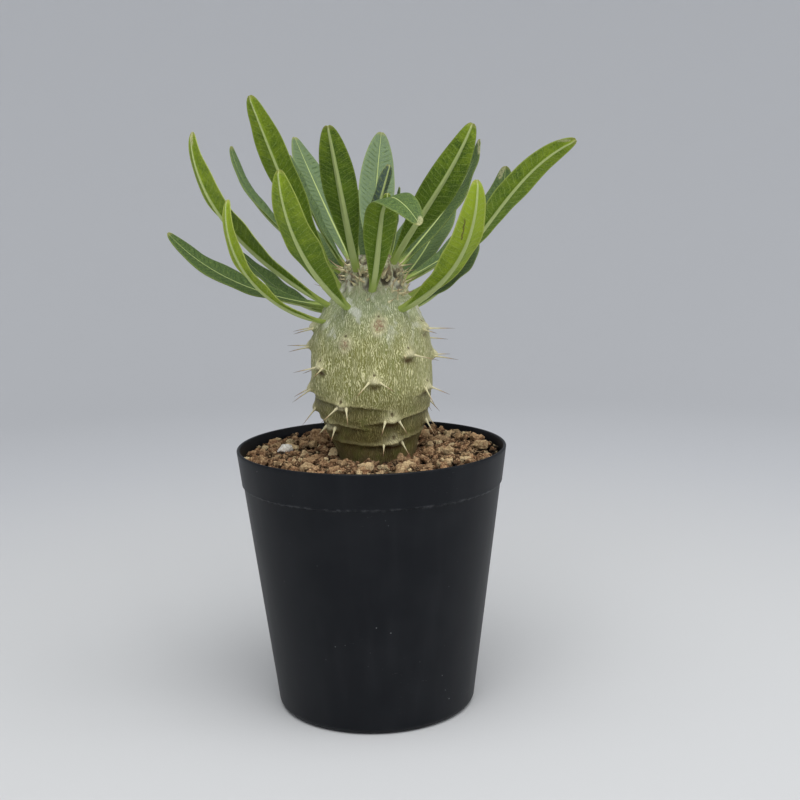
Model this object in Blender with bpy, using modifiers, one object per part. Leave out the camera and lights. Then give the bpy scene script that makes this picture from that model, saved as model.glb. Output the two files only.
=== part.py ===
"""Potted pachypodium: a thorny barrel-shaped stem with a head of leaves, in a black nursery pot.

Metres, +Z up. The origin is the middle of the pot's flat base, and -Y is the front.
"""

import math
from collections import namedtuple

import bmesh
import bpy
import numpy as np
from mathutils import Matrix, Vector, noise

MM = 0.001
GAP = 0.0003

# Pot: rim 105 mm across, a band under the rim, then a tapered wall with a rounded foot
RIM_RADIUS = 0.0525
POT_HEIGHT = 0.1035
BAND_HEIGHT = 0.0138
BAND_BOTTOM_RADIUS = 0.0509
BAND_STEP = 0.0006
FOOT_RADIUS = 0.0388
FOOT_ROUND = 0.003
WALL = 0.0012
FLOOR = 0.0018
LIP_ROUND = 0.0006
INNER_CORNER = 0.002
POT_STEPS = 56
DRAIN_HOLES = 6
DRAIN_RING = 0.023
DRAIN_RADIUS = 0.0032
DRAIN_SIDES = 12
DRAIN_TURN = 0.11

# Soil: granular, a few millimetres below the rim, in metres
SOIL_LEVEL = 0.1004
SOIL_RISE_RIGHT = 0.0008
SOIL_RISE_BACK = 0.0009
SOIL_GRID = 32
GRAIN_SPACING = 0.0046
GRAIN_JITTER = 0.4
GRAIN_REACH = 0.62
GRAIN_RELIEF = 0.0028
GRAIN_SINK = 0.45
GRAIN_LOWEST = 0.35
GRAIN_SEED = 7

# Stem: radius against height, from the buried foot to the crown, in millimetres
STEM_PROFILE = (
    (82, 5.0), (86, 9.0), (91, 12.2), (96, 14.2), (101, 15.4), (105, 16.8), (109, 18.6), (113, 20.0),
    (117, 21.3), (122, 22.6), (127, 23.3), (132, 23.4), (137, 23.3), (142, 23.1), (146, 22.6), (150, 21.5),
    (154, 19.4), (158, 17.0), (162, 14.6), (166, 12.5), (170, 11.4), (173, 10.2), (175, 8.4), (176.5, 5.4),
    (177.2, 2.2),
)
STEM_AXIS_SHIFT = 0.7
STEM_BOW = 1.4
STEM_BOW_MIDDLE = 138
STEM_BOW_REACH = 38
STEM_ROW = 2.0
STEM_STEPS = 44
STEM_TOP_POINT = 0.5
STEM_FOOT_POINT = 1.0

# Growth ledges low on the stem: height at the front, rise towards the right and depth (mm), then the side that
# each is deepest on and how far it reaches to both sides of that (degrees)
LEDGES = (
    (121.9, -3.4, 0.7, -86, 30), (121.2, -2.3, 0.9, -38, 50), (112.2, -3.0, 1.0, -50, 42),
    (106.3, -1.0, 0.5, -25, 40), (123.5, 2.0, 0.6, 68, 26), (115.3, 3.4, 0.9, 42, 52),
    (106.5, 3.5, 1.2, 38, 52), (117.5, 0.0, 0.8, 150, 60), (111.0, 1.5, 0.9, -150, 55),
    (107.0, 0.0, 0.8, 135, 50),
)
LEDGE_EDGE = 0.8
LEDGE_FADE = 6.0
LEDGE_LIP = 2.0
LEDGE_LIP_SHARE = 0.35
LEDGE_WANDER = 0.5
RELIEF_START = 102
RELIEF_FADE = 3

# Tubercles: a spiral from the crown down, with the small wanders that the plant grew with
TUBERCLES = 31
TUBERCLE_TOP = 160.5
TUBERCLE_DROP = 1.85
TUBERCLE_TURN = 138
TUBERCLE_START = -42
TUBERCLE_WANDER = {
    1: (-0.5, -6), 3: (-2.5, -4), 5: (-1.4, -14), 8: (0, -7), 10: (0.5, 10), 11: (0.6, 0), 13: (-0.5, -7),
    14: (3.4, 2), 16: (0.5, -4), 18: (-1, -10), 19: (2, 1), 21: (-0.5, -7), 23: (0.5, 16), 24: (0, -12),
    26: (0, -2), 27: (3.1, -4), 29: (0, 21),
}
TUBERCLE_HIDDEN = (0, 2, 4)
TUBERCLE_BARE = (1, 3, 8)
TUBERCLE_HEIGHT = 2.1
TUBERCLE_WIDTH = 2.7
TUBERCLE_WIDEN = 0.8
TUBERCLE_ABOVE = 2.6
TUBERCLE_BELOW = 1.5
BARE_SHARE = 0.6

# Spines, two to a tubercle, in millimetres and degrees. They droop more, and are shorter, lower down
SPINE_SPREAD = (2.1, 3.6)
SPINE_SPREAD_HEIGHTS = (121, 108)
SPINE_FOOT_SHARE = 0.45
SPINE_SPLAY = 33
SPINE_SPLAY_WANDER = 6
SPINE_RISE_WANDER = 8
SPINE_LOWEST = 106
SPINE_DROOP = (4, 46)
SPINE_DROOP_HEIGHTS = (140, 118)
SPINE_LENGTH = (9.4, 5.6)
SPINE_LENGTH_HEIGHTS = (130, 112)
SPINE_LENGTH_WANDER = 1.2
SPINE_RADIUS = 0.75
CROWN_SPINE_RADIUS = 0.7
SPINE_TIP_RADIUS = 0.12
SPINE_SUNK = 1.4
SPINE_SEED = 3

# Leaves: the root's side (degrees from the front towards +X) and height on the crown (mm), the plan direction
# at base and tip, the rise above level at base, middle and tip, length and width (mm), the roll at base and
# tip, the fold of each half, and the backward curl of the outer part (degrees)
Leaf = namedtuple("Leaf", "side height turn_base turn_tip rise_base rise_mid rise_tip length width "
                          "roll_base roll_tip fold curl")
LEAVES = {
    "leaf_01": Leaf(-94, 158, -97, -94, 6, 23, 50, 69, 14, -16, -20, 13, 0),
    "leaf_02": Leaf(-74, 158, -68, -84, 33, 47, 92, 85, 16, -10, 29, 26, 0),
    "leaf_03": Leaf(-60, 153, -64, -57, 12, 47, 101, 65, 9, 1, 11, 15, 0),
    "leaf_04": Leaf(-108, 156, -116, -116, 3, 31, 45, 46, 14, 0, 0, 22, 0),
    "leaf_05": Leaf(-113, 169, -109, -118, 31, 42, 79, 70, 10, 12, 2, 20, 0),
    "leaf_06": Leaf(-74, 164, -68, -61, 55, 66, 68, 78, 15.5, 10, 28, 13, 0),
    "leaf_07": Leaf(-32, 158, -28, -32, 27, 44, 88, 70, 16.5, -5, -8, 28, 0),
    "leaf_08": Leaf(-40, 171, -11, -9, 46, 50, 46, 68, 12.5, 5, 8, 24, 0),
    "leaf_09": Leaf(-129, 172, -149, -146, 45, 49, 53, 66, 13.5, -21, 10, 11, 0),
    "leaf_10": Leaf(0, 164, 10, 47, 33, 70, 18, 63, 13.5, -17, 28, 4, 74),
    "leaf_11": Leaf(183, 172, 176, 164, 32, 51, 64, 68, 15, 6, 26, 23, 0),
    "leaf_12": Leaf(190, 174, 91, 86, 90, 75, 74, 36, 8, -1, -50, 24, 0),
    "leaf_13": Leaf(60, 173, 34, 48, 48, 44, 63, 67, 12, -35, -55, 8, 0),
    "leaf_14": Leaf(111, 170, 127, 117, 45, 45, 75, 65, 15.5, 30, -17, 16, 0),
    "leaf_15": Leaf(76, 162, 74, 64, 18, 51, 20, 86, 13.5, -3, -49, 8, 0),
    "leaf_16": Leaf(39, 157, 42, 15, 22, 42, 88, 68, 14.5, -20, 16, 23, 0),
    "leaf_17": Leaf(97, 166, 104, 101, 27, 39, 89, 63, 15, 10, 40, 21, 0),
    "leaf_18": Leaf(-105, 171, -108, -108, 51, 64, 69, 48, 9, 0, 0, 22, 0),
    "leaf_19": Leaf(140, 163, 150, 152, 18, 34, 48, 66, 15, 6, 0, 20, 0),
    "leaf_20": Leaf(166, 158, 164, 160, 12, 30, 45, 70, 15, -6, 4, 20, 0),
    "leaf_21": Leaf(192, 164, 186, 182, 22, 36, 50, 64, 14, 4, 0, 22, 0),
    "leaf_22": Leaf(216, 158, 200, 196, 12, 28, 44, 60, 15, 0, -8, 20, 0),
    "leaf_23": Leaf(122, 156, 130, 138, 10, 32, 50, 46, 14, 0, 6, 22, 0),
    "leaf_24": Leaf(30, 175, 30, 20, 68, 78, 84, 24, 6, 0, 0, 30, 0),
    "leaf_25": Leaf(112, 175, 112, 100, 70, 80, 86, 26, 6, 0, 0, 30, 0),
    "leaf_26": Leaf(-85, 175, -90, -95, 70, 80, 84, 22, 6, 0, 0, 30, 0),
}
LEAF_COLUMNS = (-1.0, -0.55, 0.0, 0.55, 1.0)
LEAF_ROWS = 9
CURLED_ROWS = 15
YOUNG_ROWS = 7
YOUNG_LENGTH = 30
LEAF_BLADE = 0.7
LEAF_RIB = 1.9
RIB_SHARE = 0.17
PETIOLE_HALF = 1.5
PETIOLE_SHARE = 0.2
PETIOLE_END = 0.09
TIP_HALF = 0.7
FOLD_EASE = 0.35
CURL_START = 0.48
CURL_END = 0.8
WAVE_HEIGHT = 0.35
WAVES = 3.5
WAVE_OFFSET = 1.3
ROOT_DEPTH = 2.2
BOSS_HEIGHT = 0.9
BOSS_WIDTH = 2.4
BOSS_DROP = 0.8

# Spines beside the leaf roots: side (degrees), height (mm), plan direction and rise (degrees), length (mm)
CROWN_SPINES = (
    (-92, 163.5, -92, 22, 9), (-98, 165.5, -100, 30, 8), (-88, 171.0, -84, 44, 9), (-20, 168.5, -66, 34, 7),
    (82, 173.0, 82, 46, 8), (86, 166.5, 90, 26, 7), (50, 163.0, 66, 16, 5), (90, 158.5, 84, 34, 6),
    (152, 162.0, 146, 20, 7), (182, 165.0, 186, 22, 7), (214, 163.0, 208, 18, 7),
    (238, 166.0, 244, 28, 8), (20, 170.5, 34, 40, 6), (158, 172.0, 160, 42, 7),
)

# Stones on the soil: middle (mm from the axis), half sizes (mm), turn (degrees)
STONES = {
    "stone_white": (-34, 6, 3.4, 2.6, 2.2, 20),
    "stone_tan": (-22, 26, 4.4, 3.6, 3.6, 50),
    "stone_pale_1": (11, -32, 3.4, 2.4, 2.0, 80),
    "stone_pale_2": (43, 2, 3.0, 2.4, 2.2, 10),
    "stone_pale_3": (-24, -24, 3.2, 2.2, 1.8, 140),
}
STONE_RISE = 0.3
STONE_ROUGHNESS = 0.22
STONE_DETAIL = 1.3
SMOOTH_ANGLE = 40


def clear_scene():
    """Remove every object of the open file."""
    for old in list(bpy.data.objects):
        bpy.data.objects.remove(old, do_unlink=True)


def make_collection(name):
    """Return a new collection linked to the scene."""
    made = bpy.data.collections.new(name)
    bpy.context.scene.collection.children.link(made)
    return made


def make_material(name, colour, roughness, metallic=0.0):
    """Return a plain Principled material."""
    made = bpy.data.materials.new(name)
    made.use_nodes = True
    shader = made.node_tree.nodes["Principled BSDF"]
    shader.inputs["Base Color"].default_value = (*colour, 1.0)
    shader.inputs["Roughness"].default_value = roughness
    shader.inputs["Metallic"].default_value = metallic
    made.diffuse_color = (*colour, 1.0)
    return made


def add_object(name, mesh, collection, material=None):
    """Link a mesh to the collection as a named object."""
    made = bpy.data.objects.new(name, mesh)
    collection.objects.link(made)
    if material is not None:
        mesh.materials.append(material)
    return made


def object_from_bmesh(name, shape, collection, material=None):
    """Turn a bmesh into a named object, its faces pointing out."""
    mesh = bpy.data.meshes.new(name)
    shape.to_mesh(mesh)
    shape.free()
    return add_object(name, mesh, collection, material)


def evaluated_mesh(source):
    """Return a new mesh of the object as its modifiers leave it."""
    graph = bpy.context.evaluated_depsgraph_get()
    graph.update()
    return bpy.data.meshes.new_from_object(source.evaluated_get(graph))


def apply_modifiers(target):
    """Replace the object's mesh by its evaluated one."""
    result = evaluated_mesh(target)
    target.modifiers.clear()
    target.data = result


def hide_cutter(cutter):
    """Mark an object as a cutter."""
    cutter.hide_render = True
    cutter.display_type = "WIRE"


def smooth(target):
    """Shade a round piece smooth, its true edges left sharp."""
    target.data.shade_smooth()
    target.data.set_sharp_from_angle(angle=math.radians(SMOOTH_ANGLE))


def boolean(target, operation, cutter=None, collection=None):
    """Add an exact Boolean with one cutter or a collection of them."""
    cut = target.modifiers.new(operation.title(), "BOOLEAN")
    cut.operation = operation
    cut.solver = "EXACT"
    if collection is not None:
        cut.operand_type = "COLLECTION"
        cut.collection = collection
    else:
        cut.object = cutter


def between(value, start, end):
    """How far a value is from start to end, from 0 to 1."""
    return min(max((value - start) / (end - start), 0.0), 1.0)


def ranged(pair, share):
    """The value at a share of the way from the first of a pair to the second."""
    return pair[0] + (pair[1] - pair[0]) * share


def turned(name, outline, steps, collection, material=None):
    """Turn an outline of (radius, height) points, listed down the outer side, round the Z axis."""
    shape = bmesh.new()
    points = [shape.verts.new((radius, 0.0, height)) for radius, height in outline]
    for first, second in zip(points, points[1:]):
        shape.edges.new((first, second))
    made = object_from_bmesh(name, shape, collection, material)
    screw = made.modifiers.new("Turn", "SCREW")
    screw.axis = "Z"
    screw.steps = steps
    screw.render_steps = steps
    screw.use_merge_vertices = True
    screw.merge_threshold = 0.00001
    apply_modifiers(made)
    return made


def arc(middle, radius, start, end, count):
    """Return points on an arc in the (radius, height) plane, angles in degrees."""
    angles = np.radians(np.linspace(start, end, count))
    return [(middle[0] + radius * math.cos(a), middle[1] + radius * math.sin(a)) for a in angles]


def wall_radius(height):
    """Outer radius of the tapered wall below the band."""
    top = POT_HEIGHT - BAND_HEIGHT
    share = height / top
    return FOOT_RADIUS + (BAND_BOTTOM_RADIUS - BAND_STEP - FOOT_RADIUS) * share


def inner_radius(height):
    """Inner radius of the pot: parallel to the tapered wall, then flared to the lip."""
    top = POT_HEIGHT - BAND_HEIGHT
    flare = RIM_RADIUS - 2 * LIP_ROUND - (wall_radius(top) - WALL)
    reach = (height - top) / (POT_HEIGHT - LIP_ROUND - top)
    return wall_radius(min(height, top)) - WALL + flare * max(reach, 0.0)


def pot_outline():
    """Half section of the pot: up its inside, over the lip, down its outside and across the base."""
    top = POT_HEIGHT - BAND_HEIGHT
    corner = FLOOR + INNER_CORNER
    inside = [(0.0, FLOOR), (inner_radius(FLOOR) - INNER_CORNER, FLOOR), (inner_radius(corner), corner)]
    inside += [(inner_radius(top), top), (RIM_RADIUS - 2 * LIP_ROUND, POT_HEIGHT - LIP_ROUND)]
    lip = arc((RIM_RADIUS - LIP_ROUND, POT_HEIGHT - LIP_ROUND), LIP_ROUND, 180, 0, 5)[1:]
    band = [
        (BAND_BOTTOM_RADIUS, top + 0.0004),
        (BAND_BOTTOM_RADIUS - 0.0002, top),
        (BAND_BOTTOM_RADIUS - BAND_STEP, top - 0.0003),
    ]
    foot = arc((wall_radius(FOOT_ROUND) - FOOT_ROUND, FOOT_ROUND), FOOT_ROUND, 0, -90, 5)
    return inside + lip + band + foot + [(0.0, 0.0)]


def build_pot(parts, cutters, material):
    """The moulded pot with drain holes through its floor."""
    pot = turned("pot", pot_outline(), POT_STEPS, parts, material)
    for index in range(DRAIN_HOLES):
        angle = math.tau * index / DRAIN_HOLES + DRAIN_TURN
        shape = bmesh.new()
        place = Matrix.Translation((DRAIN_RING * math.cos(angle), DRAIN_RING * math.sin(angle), 0.0))
        bmesh.ops.create_cone(shape, cap_ends=True, segments=DRAIN_SIDES, radius1=DRAIN_RADIUS,
                              radius2=DRAIN_RADIUS, depth=4 * FLOOR, matrix=place)
        hole = object_from_bmesh(f"drain_cutter_{index + 1}", shape, cutters)
        hide_cutter(hole)
        boolean(pot, "DIFFERENCE", hole)
    apply_modifiers(pot)
    smooth(pot)


def stem_radius(height):
    """Smooth radius of the stem at a height, both in millimetres."""
    heights = [h for h, _ in STEM_PROFILE]
    radii = [r for _, r in STEM_PROFILE]
    index = int(np.clip(np.searchsorted(heights, height) - 1, 0, len(heights) - 2))
    before = max(index - 1, 0)
    after = min(index + 2, len(heights) - 1)
    span = heights[index + 1] - heights[index]
    share = min(max((height - heights[index]) / span, 0.0), 1.0)
    slope_a = (radii[index + 1] - radii[before]) / (heights[index + 1] - heights[before]) * span
    slope_b = (radii[after] - radii[index]) / (heights[after] - heights[index]) * span
    s2 = share * share
    s3 = s2 * share
    return (
        (2 * s3 - 3 * s2 + 1) * radii[index]
        + (s3 - 2 * s2 + share) * slope_a
        + (3 * s2 - 2 * s3) * radii[index + 1]
        + (s3 - s2) * slope_b
    )


def stem_axis(height):
    """Sideways shift of the stem's axis at a height, in millimetres."""
    return STEM_AXIS_SHIFT + STEM_BOW * ((height - STEM_BOW_MIDDLE) / STEM_BOW_REACH) ** 2


def stem_point(side, height, lift=0.0):
    """Point on the stem's smooth surface, in metres, from degrees and millimetres."""
    reach = stem_radius(height) + lift
    angle = math.radians(side)
    x = stem_axis(height) + reach * math.sin(angle)
    return Vector((x, -reach * math.cos(angle), height)) * MM


def tubercle_place(index):
    """Side (degrees) and height (mm) of one tubercle of the spiral."""
    rise, turn = TUBERCLE_WANDER.get(index, (0, 0))
    height = TUBERCLE_TOP - TUBERCLE_DROP * index + rise
    side = TUBERCLE_START + TUBERCLE_TURN * index + turn
    return (side + 180) % 360 - 180, height


def tubercle_list():
    """Sides and heights of the tubercles, those that would sit among the leaf roots left out."""
    return {i: tubercle_place(i) for i in range(TUBERCLES) if i not in TUBERCLE_HIDDEN}


def turn_between(side, other):
    """Smallest turn from one side to another, in degrees."""
    return (side - other + 180) % 360 - 180


def ledge_relief(side, height):
    """Depth of the growth ledges at a point, in millimetres: an overhang, then a slow return."""
    relief = 0.0
    angle = math.radians(side)
    for front, tilt, depth, middle, span in LEDGES:
        wander = LEDGE_WANDER * noise.noise(Vector((2 * math.sin(angle), front, 2 * math.cos(angle))))
        below = front + tilt * math.sin(angle) + wander - height
        deep = depth * math.exp(-((turn_between(side, middle) / span) ** 4))
        if 0 < below < LEDGE_FADE:
            relief -= deep * min(below / LEDGE_EDGE, 1.0) * (1 - below / LEDGE_FADE)
        elif -LEDGE_LIP < below <= 0:
            relief += LEDGE_LIP_SHARE * deep * (1 + below / LEDGE_LIP)
    return relief


def spine_spread(height):
    """Half the distance between a tubercle's two spines, in millimetres: wider apart lower down."""
    return ranged(SPINE_SPREAD, between(height, *SPINE_SPREAD_HEIGHTS))


def bump(side, height, other, width, above, below, reach):
    """Rounded rise at another place of the surface, from 0 to 1; it may fall off faster below than above."""
    across = math.radians(turn_between(side, other[0])) * reach
    up = height - other[1]
    return math.exp(-((across / width) ** 2) - (up / (above if up > 0 else below)) ** 2)


def stem_relief(side, height, tubercles):
    """Height of the skin above the smooth stem, in millimetres."""
    reach = stem_radius(height)
    total = ledge_relief(side, height)
    for index, place in tubercles.items():
        size = BARE_SHARE if index in TUBERCLE_BARE else 1.0
        width = TUBERCLE_WIDTH + TUBERCLE_WIDEN * (spine_spread(place[1]) - SPINE_SPREAD[0])
        mound = bump(side, height, place, width, TUBERCLE_ABOVE, TUBERCLE_BELOW, reach)
        total += size * TUBERCLE_HEIGHT * mound
    for leaf in LEAVES.values():
        place = (leaf.side, leaf.height - BOSS_DROP)
        total += BOSS_HEIGHT * bump(side, height, place, BOSS_WIDTH, BOSS_WIDTH, BOSS_WIDTH, reach)
    return total * between(height, RELIEF_START, RELIEF_START + RELIEF_FADE)


def stem_outline():
    """Heights of the stem's rows, top to bottom, in millimetres."""
    low = STEM_PROFILE[0][0]
    high = STEM_PROFILE[-1][0]
    rows = round((high - low) / STEM_ROW)
    return [high - (high - low) * i / rows for i in range(rows + 1)]


def build_stem_body(name, collection, material, tubercles, lift=0.0, relief=True):
    """The stem without spines, grown by a lift in millimetres where it serves as a cutter."""
    heights = stem_outline()
    outline = [(0.0, (heights[0] + STEM_TOP_POINT) * MM)]
    outline += [(stem_radius(h) * MM, h * MM) for h in heights]
    outline += [(0.0, (heights[-1] - STEM_FOOT_POINT) * MM)]
    body = turned(name, outline, STEM_STEPS, collection, material)
    normals = [vertex.normal.copy() for vertex in body.data.vertices]
    for vertex, normal in zip(body.data.vertices, normals):
        height = vertex.co.z / MM
        side = math.degrees(math.atan2(vertex.co.x, -vertex.co.y))
        raised = stem_relief(side, height, tubercles) if relief else 0.0
        vertex.co += normal * (raised + lift) * MM
        vertex.co.x += stem_axis(height) * MM
    return body


def add_spine(name, foot, direction, length, radius, collection):
    """One three-sided spine, its root sunk in what it grows from. Sizes in millimetres."""
    shape = bmesh.new()
    turn = direction.to_track_quat("Z", "Y").to_matrix().to_4x4()
    middle = foot + direction * (length - SPINE_SUNK) / 2 * MM
    bmesh.ops.create_cone(shape, cap_ends=True, segments=3, radius1=radius * MM,
                          radius2=SPINE_TIP_RADIUS * MM, depth=(length + SPINE_SUNK) * MM,
                          matrix=Matrix.Translation(middle) @ turn)
    object_from_bmesh(name, shape, collection)


def spine_direction(side, rise):
    """Direction from a plan direction and a rise, in degrees."""
    turn = math.radians(side)
    up = math.radians(rise)
    return Vector((math.sin(turn) * math.cos(up), -math.cos(turn) * math.cos(up), math.sin(up)))


def add_tubercle_spines(tubercles, collection):
    """Two spines on each tubercle, level near the crown and drooping lower down."""
    random = np.random.default_rng(SPINE_SEED)
    for index, (side, height) in tubercles.items():
        splay_draw, left_draw, right_draw, length_draw = random.uniform(-1, 1, 4)
        if index in TUBERCLE_BARE or height < SPINE_LOWEST:
            continue
        droop = ranged(SPINE_DROOP, between(height, *SPINE_DROOP_HEIGHTS))
        length = ranged(SPINE_LENGTH, between(height, *SPINE_LENGTH_HEIGHTS))
        for hand, rise_draw in ((-1, left_draw), (1, right_draw)):
            foot_side = side + hand * math.degrees(spine_spread(height) / stem_radius(height))
            foot = stem_point(foot_side, height, TUBERCLE_HEIGHT * SPINE_FOOT_SHARE)
            turn = side + hand * (SPINE_SPLAY + SPINE_SPLAY_WANDER * splay_draw)
            way = spine_direction(turn, SPINE_RISE_WANDER * rise_draw - droop)
            reach = length + SPINE_LENGTH_WANDER * length_draw * hand
            add_spine(f"spine_{index}_{hand}", foot, way, reach, SPINE_RADIUS, collection)


def add_crown_spines(collection):
    """Pairs of spines beside the leaf roots."""
    for side, height, turn, rise, length in CROWN_SPINES:
        foot = stem_point(side, height)
        add_spine("crown_spine", foot, spine_direction(turn, rise), length, CROWN_SPINE_RADIUS, collection)


def build_caudex(parts, material, tubercles):
    """The stem with its spines fused on."""
    caudex = build_stem_body("caudex", parts, material, tubercles)
    spines = make_collection("spines")
    add_tubercle_spines(tubercles, spines)
    add_crown_spines(spines)
    boolean(caudex, "UNION", collection=spines)
    apply_modifiers(caudex)
    for spine in list(spines.objects):
        bpy.data.objects.remove(spine, do_unlink=True)
    bpy.data.collections.remove(spines)
    smooth(caudex)


def leaf_width(share):
    """Half width of a blade along its length, as a share of the widest."""
    power = 1.2 - 0.58 * share
    return math.sin(math.pi * share ** 1.35) ** power if 0 < share < 1 else 0.0


def leaf_rows(leaf):
    """How many rows a leaf's blade is made of."""
    if leaf.curl:
        return CURLED_ROWS
    return YOUNG_ROWS if leaf.length < YOUNG_LENGTH else LEAF_ROWS


def leaf_frames(leaf, rows):
    """Midrib points, sideways directions and upper-face directions of a leaf, root to tip."""
    root = stem_point(leaf.side, leaf.height, -ROOT_DEPTH)
    step = (leaf.length + ROOT_DEPTH) / rows
    frames = []
    point = root
    previous = None
    for row in range(rows + 1):
        share = row / rows
        turn = math.radians(leaf.turn_base + (leaf.turn_tip - leaf.turn_base) * share * share)
        curled = between(share, CURL_START, CURL_END)
        rise = math.radians(
            leaf.rise_base * (1 - share) * (1 - 2 * share)
            + leaf.rise_mid * 4 * share * (1 - share)
            + leaf.rise_tip * share * (2 * share - 1)
            - leaf.curl * curled * curled * (3 - 2 * curled)
        )
        along = Vector((math.sin(turn) * math.cos(rise), -math.cos(turn) * math.cos(rise), math.sin(rise)))
        if previous is not None:
            point = point + (previous + along) / 2 * step * MM
        previous = along
        level = Vector((math.cos(turn), math.sin(turn), 0.0))
        above = along.cross(level)
        roll = math.radians(leaf.roll_base + (leaf.roll_tip - leaf.roll_base) * share)
        across = level * math.cos(roll) + above * math.sin(roll)
        upper = above * math.cos(roll) - level * math.sin(roll)
        frames.append((point.copy(), across, upper))
    return frames


def blade_point(leaf, share, lateral, frame):
    """Point of the blade's upper face, share along it and lateral from -1 to 1 across it."""
    point, across, upper = frame
    fold = math.radians(leaf.fold * (1 - share ** 4))
    petiole_half = min(PETIOLE_HALF, PETIOLE_SHARE * leaf.width)
    full = leaf_width(share)
    half = leaf.width / 2 * full + petiole_half * (1 - share) ** 3 + TIP_HALF * share ** 2
    lift = half * abs(lateral) * math.sin(fold) * (1 - FOLD_EASE * abs(lateral))
    phase = math.tau * WAVES * share + (WAVE_OFFSET if lateral > 0 else 0.0) + leaf.side
    lift += WAVE_HEIGHT * lateral ** 2 * math.sin(phase) * full
    return point + (across * half * lateral * math.cos(fold) + upper * lift) * MM


def blade_thickness(leaf, share, lateral):
    """Thickness in millimetres: a thick petiole and midrib, thin halves."""
    rib = min(LEAF_RIB, RIB_SHARE * leaf.width) * (1 - 0.5 * share)
    petiole = between(share, 2 * PETIOLE_END, PETIOLE_END)
    return rib if lateral == 0 else LEAF_BLADE + (rib - LEAF_BLADE) * petiole


def build_leaf(name, leaf, parts, material, seat):
    """One leaf: a folded, gently waved blade on a thick rib, its root cut to the crown."""
    rows = leaf_rows(leaf)
    last_column = len(LEAF_COLUMNS) - 1
    shape = bmesh.new()
    bmesh.ops.create_grid(shape, x_segments=last_column, y_segments=rows, size=1.0)
    frames = leaf_frames(leaf, rows)
    weights = {}
    for vertex in shape.verts:
        lateral = LEAF_COLUMNS[round((vertex.co.x + 1) / 2 * last_column)]
        row = round((vertex.co.y + 1) / 2 * rows)
        vertex.co = blade_point(leaf, row / rows, lateral, frames[row])
        weights[vertex.index] = blade_thickness(leaf, row / rows, lateral) / LEAF_RIB
    blade = object_from_bmesh(name, shape, parts, material)
    group = blade.vertex_groups.new(name="thickness")
    for index, weight in weights.items():
        group.add([index], weight, "REPLACE")
    blade.modifiers.new("Triangles", "TRIANGULATE")
    thicken = blade.modifiers.new("Thickness", "SOLIDIFY")
    thicken.thickness = LEAF_RIB * MM
    thicken.offset = -1.0
    thicken.vertex_group = group.name
    thicken.thickness_vertex_group = 0.0
    boolean(blade, "DIFFERENCE", seat)
    apply_modifiers(blade)
    smooth(blade)


def grain_centres():
    """Jittered grid of grain centres and their own heights, over the pot's mouth."""
    random = np.random.default_rng(GRAIN_SEED)
    cells = int(2 * RIM_RADIUS / GRAIN_SPACING) + 4
    start = -cells / 2 * GRAIN_SPACING
    grid = np.arange(cells) * GRAIN_SPACING + start
    x, y = np.meshgrid(grid, grid, indexing="ij")
    x = x + random.uniform(-GRAIN_JITTER, GRAIN_JITTER, x.shape) * GRAIN_SPACING
    y = y + random.uniform(-GRAIN_JITTER, GRAIN_JITTER, y.shape) * GRAIN_SPACING
    top = random.uniform(GRAIN_LOWEST, 1.0, x.shape)
    return np.stack([x.ravel(), y.ravel(), top.ravel()], axis=1)


def soil_level(x, y):
    """Mean height of the soil, a little higher at the right and behind."""
    return SOIL_LEVEL + (SOIL_RISE_RIGHT * x + SOIL_RISE_BACK * y) / RIM_RADIUS


def soil_height(x, y, grains):
    """Height of the soil's grains at a point."""
    far = (grains[:, 0] - x) ** 2 + (grains[:, 1] - y) ** 2
    nearest = int(np.argmin(far))
    share = min(math.sqrt(far[nearest]) / (GRAIN_REACH * GRAIN_SPACING), 1.0)
    dome = math.sqrt(1 - share * share)
    return soil_level(x, y) + GRAIN_RELIEF * (grains[nearest, 2] * dome - GRAIN_SINK)


def soil_outline():
    """Half section of the space inside the pot, a small gap inside its wall and floor."""
    top = POT_HEIGHT - BAND_HEIGHT
    corner = FLOOR + INNER_CORNER
    return [
        (0.0, POT_HEIGHT),
        (inner_radius(POT_HEIGHT) - GAP, POT_HEIGHT),
        (inner_radius(top) - GAP, top),
        (inner_radius(corner) - GAP, corner + GAP),
        (inner_radius(FLOOR) - INNER_CORNER - 2 * GAP, FLOOR + GAP),
        (0.0, FLOOR + GAP),
    ]


def build_soil(parts, cutters, material, dents, stem_hole):
    """The filling of the pot: a lumpy top, tapered sides, a plain hole for the stem."""
    grains = grain_centres()
    shape = bmesh.new()
    bmesh.ops.create_grid(shape, x_segments=SOIL_GRID, y_segments=SOIL_GRID, size=RIM_RADIUS)
    for vertex in shape.verts:
        vertex.co.z = soil_height(vertex.co.x, vertex.co.y, grains)
    bmesh.ops.triangulate(shape, faces=shape.faces[:])
    skirt = bmesh.ops.extrude_face_region(shape, geom=shape.faces[:])
    for element in skirt["geom"]:
        if isinstance(element, bmesh.types.BMVert):
            element.co.z = 0.0
    bmesh.ops.recalc_face_normals(shape, faces=shape.faces[:])
    soil = object_from_bmesh("soil", shape, parts, material)
    inside = turned("soil_shape_cutter", soil_outline(), POT_STEPS, cutters)
    hide_cutter(inside)
    boolean(soil, "INTERSECT", inside)
    boolean(soil, "DIFFERENCE", stem_hole)
    for dent in dents:
        boolean(soil, "DIFFERENCE", dent)
    apply_modifiers(soil)


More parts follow.
